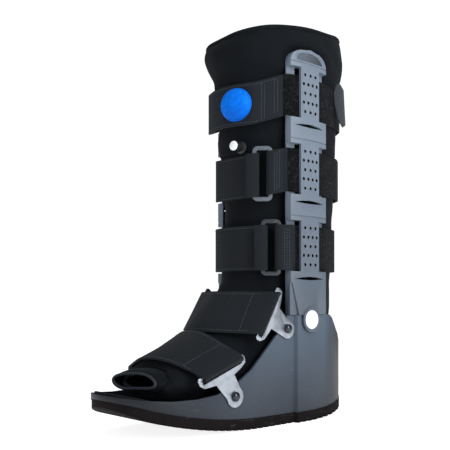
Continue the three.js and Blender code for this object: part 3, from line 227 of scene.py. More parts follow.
def cloth_group():
    """Webbing and knit: threads along the height and round the leg, broken by fibre noise."""
    group, start, end, place = new_group("woven_cloth", (
        ("Colour", "Color", (0.02, 0.02, 0.02, 1)), ("Thread colour", "Color", (0.05, 0.05, 0.05, 1)),
        ("Threads per metre", "Float", 700.0), ("Depth", "Float", 0.0003), ("Fade", "Float", 0.5)))
    w = Wiring(group)
    axes = w.axes(place)
    count = w.math("MULTIPLY", start.outputs["Threads per metre"], 2 * pi)
    rows = w.math("SINE", w.math("MULTIPLY", axes[2], count))
    along = w.math("ADD", w.math("MULTIPLY", axes[0], 0.75), w.math("MULTIPLY", axes[1], 0.75))
    columns = w.math("SINE", w.math("MULTIPLY", along, count))
    weave = w.span(w.math("MULTIPLY", rows, columns), -1, 1)
    fibre = w.noise(place, 2600, 2, 0.7)
    patch = w.noise(place, 28, 3, 0.6)
    height = w.math("ADD", weave, w.math("MULTIPLY", fibre, 0.9))
    share = w.math("MULTIPLY", w.span(height, 0.5, 1.6), w.span(patch, 0.3, 0.7, start.outputs["Fade"], 1.0))
    w.put(end.inputs["Colour"], w.blend(share, start.outputs["Colour"], start.outputs["Thread colour"]))
    w.put(end.inputs["Roughness"], w.span(patch, 0.3, 0.7, 0.72, 0.92))
    w.put(end.inputs["Normal"], w.bump(height, start.outputs["Depth"], 0.6))
    return group


def pile_group():
    """Looped pile: a dense fuzz with light flecks where the loops stand up."""
    group, start, end, place = new_group("looped_pile", (
        ("Colour", "Color", (0.01, 0.01, 0.01, 1)), ("Loop colour", "Color", (0.08, 0.08, 0.08, 1)),
        ("Loop scale", "Float", 1400.0), ("Depth", "Float", 0.0006)))
    w = Wiring(group)
    loops = w.noise(place, start.outputs["Loop scale"], 3, 0.75)
    tufts = w.noise(place, w.math("MULTIPLY", start.outputs["Loop scale"], 0.28), 2, 0.6)
    flecks = w.math("MULTIPLY", w.span(loops, 0.5, 0.72), w.span(tufts, 0.38, 0.62, 0.25, 1.0))
    w.put(end.inputs["Colour"], w.blend(flecks, start.outputs["Colour"], start.outputs["Loop colour"]))
    w.put(end.inputs["Roughness"], w.span(tufts, 0.3, 0.7, 0.88, 1.0))
    w.put(end.inputs["Normal"], w.bump(w.math("ADD", loops, tufts), start.outputs["Depth"], 0.8))
    return group


def metal_group():
    """Stamped steel: rolling lines, small dents and a duller patina."""
    group, start, end, place = new_group("stamped_steel", (
        ("Bright", "Color", (0.7, 0.72, 0.75, 1)), ("Dull", "Color", (0.4, 0.42, 0.46, 1)),
        ("Rough", "Float", 0.25)))
    w = Wiring(group)
    rolled = w.noise(place, 260, 3, 0.6, (1, 1, 9))
    patina = w.noise(place, 90, 3, 0.6)
    dulled = w.blend(w.span(patina, 0.42, 0.72), start.outputs["Bright"], start.outputs["Dull"])
    w.put(end.inputs["Colour"], dulled)
    w.put(end.inputs["Roughness"], w.math("ADD", start.outputs["Rough"], w.math("MULTIPLY", rolled, 0.2)))
    w.put(end.inputs["Normal"], w.bump(w.math("ADD", rolled, w.math("MULTIPLY", patina, 2.0)), 0.00008, 0.4))
    return group


MOULDED, CLOTH, PILE, METAL = moulded_group(), cloth_group(), pile_group(), metal_group()


def finish(name, group, values, shader_values=None, rough=0.5, metal=0.0):
    """A material whose colour, roughness and normal come from one placed group."""
    material, shader = new_material(name, rough, metal, **(shader_values or {}))
    tree = material.node_tree
    placed = tree.nodes.new("ShaderNodeGroup")
    placed.node_tree = group
    for key, value in values.items():
        placed.inputs[key].default_value = (*value, 1) if isinstance(value, tuple) else value
    tree.links.new(placed.outputs["Colour"], shader.inputs["Base Color"])
    tree.links.new(placed.outputs["Roughness"], shader.inputs["Roughness"])
    tree.links.new(placed.outputs["Normal"], shader.inputs["Normal"])
    return material


# painted shade: the shell darkens towards the sole, towards the heel's back and towards the toe
SHELL = finish("shell_grey", MOULDED, {
    "Light": (0.086, 0.11, 0.143), "Dark": (0.0075, 0.0075, 0.009),
    "Dark from": -0.01, "Light from": 0.105, "Back shade from": 0.09, "Rough": 0.38, "Front shade from": -0.03},
    {"Specular_IOR_Level": 0.2})
# painted shade: the uprights darken towards their lower ends
UPRIGHT = finish("upright_grey", MOULDED, {
    "Light": (0.146, 0.178, 0.22), "Dark": (0.06, 0.076, 0.098),
    "Dark from": 0.1, "Light from": 0.3, "Back shade from": 0.3, "Rough": 0.4})
# painted shade: the sole a little darker towards its underside
RUBBER = finish("sole_rubber", MOULDED, {
    "Light": (0.0065, 0.0045, 0.0048), "Dark": (0.003, 0.002, 0.0022),
    "Dark from": 0.0, "Light from": 0.02, "Back shade from": 0.3, "Rough": 0.8},
    {"Specular_IOR_Level": 0.12})
RING = finish("ring_plastic", MOULDED, {
    "Light": (0.1, 0.115, 0.135), "Dark": (0.02, 0.024, 0.03),
    "Dark from": 0.215, "Light from": 0.235, "Back shade from": 0.3, "Rough": 0.3})
DARK_PLASTIC = finish("valve_black", MOULDED, {
    "Light": (0.012, 0.014, 0.017), "Dark": (0.006, 0.006, 0.008),
    "Dark from": 0.0, "Light from": 0.3, "Back shade from": 0.3, "Rough": 0.4})
WHITE = finish("white_plastic", MOULDED, {
    "Light": (0.86, 0.87, 0.88), "Dark": (0.8, 0.81, 0.82),
    "Dark from": 0.0, "Light from": 0.1, "Back shade from": 0.3, "Rough": 0.3})
# painted shade: the bulb darker towards its foot; its mottle is its own
BULB = finish("bulb_blue", MOULDED, {
    "Light": (0.0002, 0.185, 0.82), "Dark": (0.0002, 0.07, 0.42),
    "Dark from": 0.315, "Light from": 0.335, "Back shade from": 0.3, "Rough": 0.5, "Mottle": 0.7},
    {"Specular_IOR_Level": 0.08})
FOAM = finish("insole_foam", PILE, {
    "Colour": (0.007, 0.008, 0.009), "Loop colour": (0.018, 0.02, 0.022),
    "Loop scale": 900.0, "Depth": 0.0003}, {"Specular_IOR_Level": 0.2})
LINER = finish("liner_knit", CLOTH, {
    "Colour": (0.0016, 0.0023, 0.0034), "Thread colour": (0.006, 0.0085, 0.012),
    "Threads per metre": 900.0, "Depth": 0.0002, "Fade": 0.3},
    {"Sheen_Weight": 0.03, "Sheen_Roughness": 0.4, "Specular_IOR_Level": 0.12})
LINING = finish("inner_fleece", PILE, {
    "Colour": (0.003, 0.0035, 0.0045), "Loop colour": (0.011, 0.012, 0.014),
    "Loop scale": 800.0, "Depth": 0.0005}, {"Specular_IOR_Level": 0.1})
PAD_CLOTH = finish("strap_cloth", CLOTH, {
    "Colour": (0.006, 0.0072, 0.0086), "Thread colour": (0.019, 0.0225, 0.027),
    "Threads per metre": 560.0, "Depth": 0.0003, "Fade": 0.4},
    {"Sheen_Weight": 0.03, "Specular_IOR_Level": 0.15})
WEBBING = finish("webbing", CLOTH, {
    "Colour": (0.004, 0.0052, 0.0068), "Thread colour": (0.022, 0.028, 0.036),
    "Threads per metre": 420.0, "Depth": 0.0004, "Fade": 0.6},
    {"Sheen_Weight": 0.03, "Specular_IOR_Level": 0.15})
TAB_CLOTH = finish("tab_cloth", CLOTH, {
    "Colour": (0.03, 0.035, 0.042), "Thread colour": (0.062, 0.07, 0.082),
    "Threads per metre": 700.0, "Depth": 0.0003, "Fade": 0.7}, {"Specular_IOR_Level": 0.3})
PILE_CLOTH = finish("pile_cloth", PILE, {
    "Colour": (0.0008, 0.001, 0.0013), "Loop colour": (0.04, 0.045, 0.053),
    "Loop scale": 560.0, "Depth": 0.0008}, {"Sheen_Weight": 0.03, "Specular_IOR_Level": 0.1})
BINDING = finish("edge_binding", CLOTH, {
    "Colour": (0.016, 0.02, 0.025), "Thread colour": (0.042, 0.05, 0.06),
    "Threads per metre": 800.0, "Depth": 0.0002, "Fade": 0.6}, {"Specular_IOR_Level": 0.3})
THREAD = finish("seam_thread", CLOTH, {
    "Colour": (0.035, 0.042, 0.05), "Thread colour": (0.1, 0.115, 0.135),
    "Threads per metre": 1500.0, "Depth": 0.0001, "Fade": 0.7})
STEEL = finish("stamped_steel", METAL, {
    "Bright": (0.4, 0.43, 0.47), "Dull": (0.26, 0.285, 0.32), "Rough": 0.3}, None, 0.25, 1.0)
# painted shade: a dark patch over the hollow in each upright's cap, darker towards the back
DISH_SHADE = finish("painted_dish_shade", MOULDED, {
    "Light": (0.075, 0.092, 0.115), "Dark": (0.014, 0.017, 0.022),
    "Dark from": 0.1, "Light from": 0.3, "Back shade from": 0.058, "Rough": 0.45})
RIVET_STEEL = finish("rivet_steel", METAL, {
    "Bright": (0.055, 0.062, 0.075), "Dull": (0.02, 0.023, 0.03), "Rough": 0.12}, None, 0.15, 1.0)

# Mesh helpers


def copy_of(node, join=False):
    """A merged copy of a solid, its triangles joined to quads if asked."""
    bm = bmesh.new()
    bm.from_mesh(nodes[node].data)
    bmesh.ops.remove_doubles(bm, verts=bm.verts, dist=1e-5)
    if join:
        bmesh.ops.join_triangles(bm, faces=bm.faces, angle_face_threshold=radians(50),
            angle_shape_threshold=radians(120))
    return bm


def rounded(bm, width, segments=2, angle=28):
    """Coplanar faces joined, then every sharp edge rounded."""
    bmesh.ops.dissolve_limit(bm, angle_limit=radians(1.5), verts=bm.verts, edges=bm.edges)
    sharp = [e for e in bm.edges if len(e.link_faces) == 2 and e.calc_face_angle(0) > radians(angle)]
    bmesh.ops.bevel(bm, geom=sharp, offset=width, offset_type="OFFSET", segments=segments, profile=0.5,
        affect="EDGES", material=-1, clamp_overlap=True)
    return bm


def piece(name, bm, material, body="boot", stands_for=(), sharp=35):
    mesh = bpy.data.meshes.new(name)
    bm.to_mesh(mesh)
    bm.free()
    mesh.shade_smooth()
    mesh.set_sharp_from_angle(angle=radians(sharp))
    made = bpy.data.objects.new(name, mesh)
    bpy.context.scene.collection.objects.link(made)
    for one in material if isinstance(material, (list, tuple)) else [material]:
        mesh.materials.append(one)
    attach(made, body)
    if stands_for:
        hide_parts(*stands_for)
    return made


def applied(made, kind, **settings):
    """Adds a modifier and applies it at once."""
    modifier = made.modifiers.new(kind.lower(), kind)
    for key, value in settings.items():
        setattr(modifier, key, value)
    bpy.context.view_layer.objects.active = made
    with bpy.context.temp_override(object=made, active_object=made, selected_objects=[made]):
        bpy.ops.object.modifier_apply(modifier=modifier.name)
    return made


def smoothed(made, levels):
    return applied(made, "SUBSURF", levels=levels, render_levels=levels)


def surface_of(*pieces):
    """One tree to cast rays at, over the faces of several pieces."""
    points, faces = [], []
    for made in pieces:
        first = len(points)
        points += [vertex.co.copy() for vertex in made.data.vertices]
        faces += [[first + i for i in face.vertices] for face in made.data.polygons]
    return BVHTree.FromPolygons(points, faces)


# Hard pieces: the solids with rounded edges

HARD = (
    ("outsole", RUBBER, "sole_rubber", 0.5, 35),
    ("shell", SHELL, "shell_plastic", 0.7, 32),
    ("insole", FOAM, "insole_foam", 0.8, 35),
    ("upright_near", UPRIGHT, "upright_plastic", 0.35, 32),
    ("upright_far", UPRIGHT, "upright_plastic", 0.35, 32),
    ("badge_near", WHITE, "white_plastic", 0.25, 40),
    ("badge_far", WHITE, "white_plastic", 0.25, 40),
    ("bracket_instep_near", STEEL, "bracket_steel", 0.45, 32),
    ("bracket_instep_far", STEEL, "bracket_steel", 0.45, 32),
    ("bracket_forefoot_near", STEEL, "bracket_steel", 0.45, 32),
    ("bracket_forefoot_far", STEEL, "bracket_steel", 0.45, 32),
    ("ring_middle", RING, "ring_plastic", 0.8, 60),
    ("ring_lower", RING, "ring_plastic", 0.8, 60),
    ("valve_stem", DARK_PLASTIC, "valve_plastic", 0.3, 35),
)
SOLE_BOND = 0.0004
UPRIGHT_Y = 66.25


def bonded(bm):
    """Lifts the sole's top against the shell, as it is glued there."""
    bm.normal_update()
    for vertex in bm.verts:
        if max(face.normal.z for face in vertex.link_faces) > 0.7:
            vertex.co.z += SOLE_BOND
    return bm


TOE_LIFT = 0.0045
TOE_PULL = 0.003
TOE_FROM = -0.13
TOE_TIP = -0.1613
RING_THICKER = 0.0008
RING_COVERED = 0.0235


def toe_rounded(bm):
    """Rolls the sole's lower edge up at the toe."""
    bm.normal_update()
    for vertex in bm.verts:
        if vertex.co.y < TOE_FROM and max(face.normal.z for face in vertex.link_faces) < 0.7:
            share = (TOE_FROM - vertex.co.y) / (TOE_FROM - TOE_TIP)
            vertex.co.z += TOE_LIFT * share * share
            vertex.co.y += TOE_PULL * share * share
    return bm


def thicker_bows(bm):
    """Thickens a ring's two bows, where no strap covers them."""
    bm.normal_update()
    heights = [vertex.co.z for vertex in bm.verts]
    middle = (max(heights) + min(heights)) / 2
    for vertex in bm.verts:
        if abs(vertex.co.z - middle) > RING_COVERED:
            vertex.co += vertex.normal * RING_THICKER
    return bm


HOLE_WALL_AREA = 9e-6
PLATE_HALF = 0.0142
HOLES_ABOVE = 0.16


def darkened_holes(bm):
    """The walls of the small holes lie in the shade of the cloth behind, so they take the dark finish."""
    for face in bm.faces:
        middle = face.calc_center_median()
        small = face.calc_area() < HOLE_WALL_AREA and abs(face.normal.x) < 0.3
        if small and abs(middle.y - UPRIGHT_Y * MM) < PLATE_HALF and middle.z > HOLES_ABOVE:
            face.material_index = 1
    return bm


for node, material, slot_name, width, angle in HARD:
    bm = rounded(copy_of(node), width * MM)
    if node == "outsole":
        toe_rounded(bonded(bm))
    if node.startswith("ring"):
        thicker_bows(bm)
    if node.startswith("upright"):
        darkened_holes(bm)
        material = (material, DARK_PLASTIC)
    piece(node + "_body", bm, material, "boot", (node,), angle)

DISH_BASE = 0.3885
DISH_HALF = 0.021
DISH_HIGH = 0.0092
DISH_PROUD = 0.00025


def cap_dish(node, side):
    """Painted shade for the hollow in an upright's cap: a dark half oval that follows the cap's outer face.
    """
    surface = surface_of(nodes[node])
    bm = bmesh.new()
    bmesh.ops.create_grid(bm, x_segments=28, y_segments=8, size=0.5)
    for vertex in bm.verts:
        across = vertex.co.x * 2
        y = UPRIGHT_Y * MM + DISH_HALF * across
        z = DISH_BASE + DISH_HIGH * (vertex.co.y + 0.5) * max(0.0, 1 - across * across) ** 0.5
        hit = surface.ray_cast(Vector((side * 0.2, y, z)), Vector((-side, 0, 0)))[0]
        vertex.co = hit + Vector((side * DISH_PROUD, 0, 0))
    bmesh.ops.remove_doubles(bm, verts=bm.verts, dist=1e-5)
    bmesh.ops.recalc_face_normals(bm, faces=bm.faces)
    bm.normal_update()
    if sum(face.normal.x for face in bm.faces) * side < 0:
        bmesh.ops.reverse_faces(bm, faces=bm.faces)
    piece(node + "_dish_shade", bm, DISH_SHADE, "boot", (), 60)


for node, side in (("upright_near", 1), ("upright_far", -1)):
    cap_dish(node, side)

for node in ("rivet_instep_near", "rivet_instep_far", "rivet_forefoot_near", "rivet_forefoot_far"):
    bm = copy_of(node)
    bmesh.ops.subdivide_edges(bm, edges=bm.edges, cuts=1, smooth=0.9, use_grid_fill=True)
    piece(node + "_head", bm, RIVET_STEEL, "boot", (node,), 60)

# Straps: each leg strap's height and dip towards the shin, and where webbing ends, in millimetres

STRAP_DIP_FROM = 37.75
STRAP_DIP_OVER = 33.0
LEG_BANDS = {
    "top": {"height": 350.56, "dip": 12.0},
    "middle": {"height": 270.54, "dip": 8.0},
    "lower": {"height": 187.43, "dip": 1.0},
}
WEBBING_ENDS = {"strap_middle_back": 31.8, "strap_lower_back": 42.3}
STRAPS = (
    ("strap_top_pile", PILE_CLOTH, "pile_cloth"),
    ("strap_top_front", WEBBING, "strap_cloth"),
    ("strap_top_tab", TAB_CLOTH, "pile_cloth"),
    ("strap_middle_back", PILE_CLOTH, "pile_cloth"),
    ("strap_middle_front", PAD_CLOTH, "strap_cloth"),
    ("strap_lower_back", PILE_CLOTH, "pile_cloth"),
    ("strap_lower_front", PAD_CLOTH, "strap_cloth"),
    ("strap_instep", PAD_CLOTH, "strap_cloth"),
    ("strap_forefoot", PAD_CLOTH, "strap_cloth"),
)
BANDS = {}


def make_band(node, material):
    """A strap from its solid, its edges rolled; the folded end of a ringed strap is webbing."""
    bm = copy_of(node)
    end = WEBBING_ENDS.get(node)
    if end:
        bmesh.ops.bisect_plane(bm, geom=bm.verts[:] + bm.edges[:] + bm.faces[:], dist=1e-6,
            plane_co=(0, end * MM, 0), plane_no=(0, 1, 0))
    rounded(bm, 0.55 * MM, 2, 50)
    if end:
        for face in bm.faces:
            middle = face.calc_center_median()
            if middle.y < end * MM and middle.x > 0:
                face.material_index = 1
    finishes = (material, WEBBING) if end else material
    return piece(node + "_band", bm, finishes, "boot", (node,), 50)


for node, material, slot_name in STRAPS:
    BANDS[node] = make_band(node, material)


# Liner: both solids in one padded body, swollen where nothing holds it, with folds and a seam at the ankle

LINER_VOXEL = 0.0042
SWELL_LIMIT = 0.0028
HELD_WITHIN = 0.007
CLOTH_FRAMES = 20
CLOTH_PRESSURE = 4.0
RIM_CREASE = 0.85
FOLD_STRETCH = Matrix.Diagonal((15.6, 15.6, 49.4))
FOLD_DEPTH = 0.0016
CREASE_SCALE = 95
CREASE_DEPTH = 0.0005
GROOVE_HALF = 0.005
LINING_ABOVE = 0.17
ANKLE_FRONT = Vector((0, 0.00473, 0.1577))
ANKLE_HEEL = Vector((0, 0.1367, 0.0367))


def hard_surface():
    """Whatever presses on the liner: straps, uprights, shell and insole."""
    bands = [made for node, made in BANDS.items() if node != "strap_top_tab"]
    return surface_of(*bands, *[nodes[node] for node in ("upright_near", "upright_far", "shell", "insole")])


def swell(made, clearance):
    """Blows the pad up as cloth, held where straps and plastic press, and caps how far it moves."""
    start = [vertex.co.copy() for vertex in made.data.vertices]
    held = made.vertex_groups.new(name="held")
    for i, gap in enumerate(clearance):
        held.add([i], 1.0 if gap < HELD_WITHIN else 0.0, "REPLACE")
    cloth = made.modifiers.new("cloth", "CLOTH")
    cloth.settings.quality = 4
    cloth.settings.use_pressure = True
    cloth.settings.uniform_pressure_force = CLOTH_PRESSURE
    cloth.settings.effector_weights.gravity = 0
    cloth.settings.vertex_group_mass = "held"
    scene = bpy.context.scene
    for step in range(1, CLOTH_FRAMES + 1):
        scene.frame_set(step)
    shaped = made.evaluated_get(bpy.context.evaluated_depsgraph_get()).data
    moved = [vertex.co.copy() for vertex in shaped.vertices]
    made.modifiers.remove(cloth)
    made.vertex_groups.clear()
    scene.frame_set(1)
    for vertex, old, new, gap in zip(made.data.vertices, start, moved, clearance):
        step = new - old
        most = min(SWELL_LIMIT, 0.7 * gap)
        vertex.co = old + step * min(1.0, most / max(step.length, 1e-9))


def crumple(made, clearance):
    """Shallow folds across the pad and a groove along the ankle seam."""
    along = (ANKLE_HEEL - ANKLE_FRONT).normalized()
    square = Vector((0, -along.z, along.y)).normalized()
    for vertex, gap in zip(made.data.vertices, clearance):
        free = min(1.0, max(0.0, gap - 0.002) / 0.01)
        fold = noise.noise(FOLD_STRETCH @ vertex.co)
        fine = noise.noise(vertex.co * CREASE_SCALE)
        off = (vertex.co - ANKLE_FRONT).dot(square)
        groove = FOLD_DEPTH * max(0.0, 1 - abs(off) / GROOVE_HALF)
        vertex.co += vertex.normal * free * (FOLD_DEPTH * fold + CREASE_DEPTH * fine - groove)


CUFF_FROM = 0.374
CUFF_FRONT = (-0.0146, 0.4115)
CUFF_BACK = (0.1598, 0.4367)
CUFF_SWELL = 0.0075
CUFF_TUCK = 0.007
CUFF_WAVE = 0.0035
SHIN_LOW = 0.287
SHIN_HIGH = 0.315
SHIN_SWELL = 0.004
KEPT_CLEAR = 0.0012
WALL = 0.009
FAR_FRONT = -42


def near_turn(turn, middle, reach):
    """One at a turn round the leg, falling to nothing at a reach on both sides."""
    return max(0.0, cos(min(1.0, abs(turn - middle) / reach) * pi / 2)) ** 2


def turn_of(co):
    """Degrees round the leg from the shin, towards the near side."""
    return degrees(atan2(co.x, UPRIGHT_Y * MM - co.y))


def cuff_shift(co):
    """Which way and how far the cuff fills out under its rim, and how far the rim rises."""
    along = (co.y - CUFF_FRONT[0]) / (CUFF_BACK[0] - CUFF_FRONT[0])
    top = CUFF_FRONT[1] + (CUFF_BACK[1] - CUFF_FRONT[1]) * along
    share = min(1.0, max(0.0, (co.z - CUFF_FROM) / (top - CUFF_FROM)))
    out = Vector((co.x, co.y - UPRIGHT_Y * MM, 0)).normalized()
    turn = turn_of(co)
    fuller = CUFF_SWELL * sin(pi * share)
    tuck = CUFF_TUCK * near_turn(turn, FAR_FRONT, 80) * share ** 3
    wave = CUFF_WAVE * near_turn(turn, FAR_FRONT, 40) - CUFF_WAVE * near_turn(turn, 22, 42)
    return out, fuller - tuck, wave * share * share


def fill_out(made, clearance):
    """Fills the pad out at the cuff and over the shin, as far as straps and uprights leave room."""
    for vertex, gap in zip(made.data.vertices, clearance):
        co = vertex.co
        out, push, lift = cuff_shift(co)
        between = min(1.0, max(0.0, (co.z - SHIN_LOW) / (SHIN_HIGH - SHIN_LOW)))
        push += SHIN_SWELL * sin(pi * between) ** 0.5 * near_turn(turn_of(co), FAR_FRONT, 50)
        room = gap - KEPT_CLEAR if vertex.normal.dot(out) > 0 else gap - WALL - KEPT_CLEAR
        vertex.co = co + out * min(push, max(0.0, room)) + Vector((0, 0, lift))


def make_liner():
    bm = bmesh.new()
    for node in ("liner_foot", "liner_leg"):
        bm.from_mesh(nodes[node].data)
    bmesh.ops.remove_doubles(bm, verts=bm.verts, dist=1e-5)
    bmesh.ops.join_triangles(bm, faces=bm.faces, angle_face_threshold=radians(50),
        angle_shape_threshold=radians(120))
    crease = bm.edges.layers.float.new("crease_edge")
    for edge in bm.edges:
        if edge.calc_face_angle(0) > radians(50):
            edge[crease] = RIM_CREASE
    made = piece("liner_pad", bm, (LINER, LINING), "boot", ("liner_foot", "liner_leg"), 180)
    smoothed(made, 2)
    applied(made, "REMESH", mode="VOXEL", voxel_size=LINER_VOXEL)
    applied(made, "SMOOTH", factor=0.5, iterations=3)
    press = hard_surface()
    clearance = [press.find_nearest(vertex.co)[3] for vertex in made.data.vertices]
    swell(made, clearance)
    crumple(made, clearance)
    fill_out(made, clearance)
    for face in made.data.polygons:
        axis = Vector((0, UPRIGHT_Y * MM, face.center.z))
        inward = (face.center - axis).dot(face.normal) < 0
        face.material_index = 1 if inward and face.center.z > LINING_ABOVE else 0
    made.data.shade_smooth()
    smoothed(made, 1)
    return made


LINER_PAD = make_liner()


# Bound edges: rolls sewn along the mouths of the liner and of the toe sleeve


def sharp_loop(node, keep):
    """The longest closed run of sharp edges of a solid, among the edges that are kept."""
    bm = copy_of(node, True)
    edges = [e for e in bm.edges if e.calc_face_angle(0) > radians(50) and all(keep(v.co) for v in e.verts)]
    loops = []
    left = dict.fromkeys(edges)
    while left:
        edge = next(iter(left))
        del left[edge]
        run = [edge.verts[0], edge.verts[1]]
        while True:
            after = [e for e in run[-1].link_edges if e in left]
            if not after:
                break
            del left[after[0]]
            run.append(after[0].other_vert(run[-1]))
        loops.append([v.co.copy() for v in run])
    bm.free()
    longest = max(loops, key=lambda run: sum((a - b).length for a, b in zip(run, run[1:])))
    return longest[:-1] if (longest[0] - longest[-1]).length < 1e-6 else longest


def roll(name, points, radius, material):
    """A round roll along a closed smooth line through the points."""
    line = bpy.data.curves.new(name, "CURVE")
    line.dimensions = "3D"
    line.bevel_depth = radius
    line.bevel_resolution = 4
    spline = line.splines.new("NURBS")
    spline.points.add(len(points) - 1)
    for point, place in zip(spline.points, points):
        point.co = (*place, 1)
    spline.order_u = 3
    spline.use_cyclic_u = True
    spline.resolution_u = 6
    holder = bpy.data.objects.new(name, line)
    bpy.context.scene.collection.objects.link(holder)
    mesh = bpy.data.meshes.new_from_object(holder.evaluated_get(bpy.context.evaluated_depsgraph_get()))
    bpy.data.objects.remove(holder)
    bm = bmesh.new()
    bm.from_mesh(mesh)
    bpy.data.meshes.remove(mesh)
    bmesh.ops.remove_doubles(bm, verts=bm.verts, dist=1e-5)
    bmesh.ops.recalc_face_normals(bm, faces=bm.faces)
    piece(name, bm, material, "boot", (), 180)


CUFF_ROLL = 0.0026
MOUTH_ROLL = 0.0021
SLEEVE_ROLL = 0.0015
MOUTH_BEHIND = -0.095
RIM_ABOVE = 0.39
rim = sharp_loop("liner_leg", lambda co: co.z > RIM_ABOVE)
rim_middle = sum(rim, Vector()) / len(rim)
pad_surface = surface_of(LINER_PAD)


def rim_place(p):
    """Where the cuff's roll runs: on the pad's own rim, next to where the solid's rim lies."""
    out, push, lift = cuff_shift(p)
    beside = p + out * push + (rim_middle - p).normalized() * 0.002 + Vector((0, 0, lift))
    return pad_surface.find_nearest(beside)[0] + Vector((0, 0, 0.001))


roll("cuff_binding", [rim_place(p) for p in rim], CUFF_ROLL, LINER)
mouth = sharp_loop("liner_foot", lambda co: co.y < MOUTH_BEHIND)
roll("mouth_binding", mouth, MOUTH_ROLL, BINDING)

# Toe sleeve: how flat its mouth is pressed, how far it reaches and how its near side is cut back
MOUTH_SQUASH = 0.36
MOUTH_RIPPLE = 0.0012
SLEEVE_REACH = 0.0205
NEAR_CUT = 0.2
MOUTH_BACK = 0.008
SLEEVE_ROOT = 0.009
SLEEVE_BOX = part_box("toe_sleeve")


def pressed(co):
    """Where a point of the sleeve goes when its mouth is pressed flat."""
    back = SLEEVE_BOX[0][1] + SLEEVE_REACH
    low = SLEEVE_BOX[0][2]
    share = min(1.0, max(0.0, (back - co.y) / SLEEVE_REACH))
    root = SLEEVE_ROOT * min(1.0, max(0.0, (co.y - back) / (SLEEVE_BOX[1][1] - back)))
    return Vector((
        co.x,
        co.y + NEAR_CUT * share * (co.x + 0.03) * 0.5 + MOUTH_BACK * share + root,
        low + (co.z - low) * (1 - MOUTH_SQUASH * share) + MOUTH_RIPPLE * share * sin(co.x * 110)))


def make_sleeve():
    """The inner flaps at the toes: a tube pressed flat at its mouth."""
    bm = copy_of("toe_sleeve", True)
    for vertex in bm.verts:
        vertex.co = pressed(vertex.co)
    made = piece("toe_sleeve_flap", bm, (LINER,), "boot", ("toe_sleeve",), 180)
    smoothed(made, 2)


make_sleeve()
lip = sharp_loop("toe_sleeve", lambda co: co.y < SLEEVE_BOX[0][1] + 0.015)
lip_middle = sum(lip, Vector()) / len(lip)
roll("sleeve_binding", [pressed(p + (lip_middle - p).normalized() * 0.0012) for p in lip], SLEEVE_ROLL,
    BINDING)

# Seams: rows of stitches laid on the straps

STITCH_PITCH = 0.0031
STITCH_LONG = 0.0011
STITCH_THICK = 0.00034
# each row: strap, the piece it lies on, first and last turn in degrees from the shin towards the near side,
# and first and last height above the strap's middle in millimetres
LEG_SEAMS = (
    ("top", "strap_top_front", 51, 51, -19, 19), ("top", "strap_top_front", 48, 48, -19, 19),
    ("top", "strap_top_front", 39, 39, -19, 19), ("top", "strap_top_front", 36.5, 36.5, -19, 19),
    ("top", "strap_top_front", -51, -51, -19, 19), ("top", "strap_top_front", -48, -48, -19, 19),
    ("top", "strap_top_front", -50, 50, 19.6, 19.6), ("top", "strap_top_front", -50, 50, -19.6, -19.6),
    ("middle", "strap_middle_back", 53, 53, -21, 21), ("middle", "strap_middle_back", 50.5, 50.5, -21, 21),
    ("middle", "strap_middle_back", 48, 48, -21, 21),
    ("middle", "strap_middle_front", -51, -51, -21, 21), ("middle", "strap_middle_front", -48, -48, -21, 21),
    ("middle", "strap_middle_front", -48, 20, 21, 21), ("middle", "strap_middle_front", -48, 20, -21, -21),
    ("lower", "strap_lower_back", 62.5, 62.5, -21.5, 21.5),
    ("lower", "strap_lower_back", 60, 60, -21.5, 21.5),
    ("lower", "strap_lower_back", 57.5, 57.5, -21.5, 21.5),
    ("lower", "strap_lower_front", -51, -51, -21.5, 21.5),
    ("lower", "strap_lower_front", -48, -48, -21.5, 21.5),
    ("lower", "strap_lower_front", -48, 28, 21.6, 21.6),
    ("lower", "strap_lower_front", -48, 28, -21.6, -21.6),
)
TOE_Y = -161.25
SOLE_LENGTH = 312.0
LINER_TOP = 424.0
FOOT_BANDS = {
    "strap_instep": {
        "front": {"ridge": 0.39, "ridge_up": 0.232, "side": 0.488, "side_up": 0.228},
        "back": {"ridge": 0.487, "ridge_up": 0.332, "side": 0.572, "side_up": 0.33}},
    "strap_forefoot": {
        "front": {"ridge": 0.206, "ridge_up": 0.162, "side": 0.243, "side_up": 0.134},
        "back": {"ridge": 0.366, "ridge_up": 0.222, "side": 0.4, "side_up": 0.176}},
}
# each row: strap, first and last share of its width, first and last turn up from the near side in degrees
FOOT_SEAMS = (
    ("strap_instep", 0.06, 0.06, 14, 166), ("strap_instep", 0.94, 0.94, 14, 166),
    ("strap_instep", 0.08, 0.92, 21, 21), ("strap_instep", 0.08, 0.92, 159, 159),
    ("strap_forefoot", 0.05, 0.05, 14, 166), ("strap_forefoot", 0.95, 0.95, 14, 166),
    ("strap_forefoot", 0.07, 0.93, 21, 21), ("strap_forefoot", 0.07, 0.93, 159, 159),
)


def strap_dip(band, y):
    return band["dip"] * min(1.0, max(0.0, (STRAP_DIP_FROM - y) / STRAP_DIP_OVER))


def leg_place(surface, band, turn, up):
    """A point of a leg strap's outer face, by its turn and its height above the strap's middle."""
    aside = Vector((sin(radians(turn)), -cos(radians(turn)), 0))
    y = 0.0
    hit = (None, None)
    for _ in range(2):
        height = (band["height"] + up - strap_dip(band, y)) * MM
        start = Vector((0, UPRIGHT_Y * MM, height)) + aside * 0.2
        hit = surface.ray_cast(start, -aside)[:2]
        if hit[0] is None:
            break
        y = hit[0].y / MM
    return hit


def foot_edge(band, share, key):
    return band["front"][key] + share * (band["back"][key] - band["front"][key])


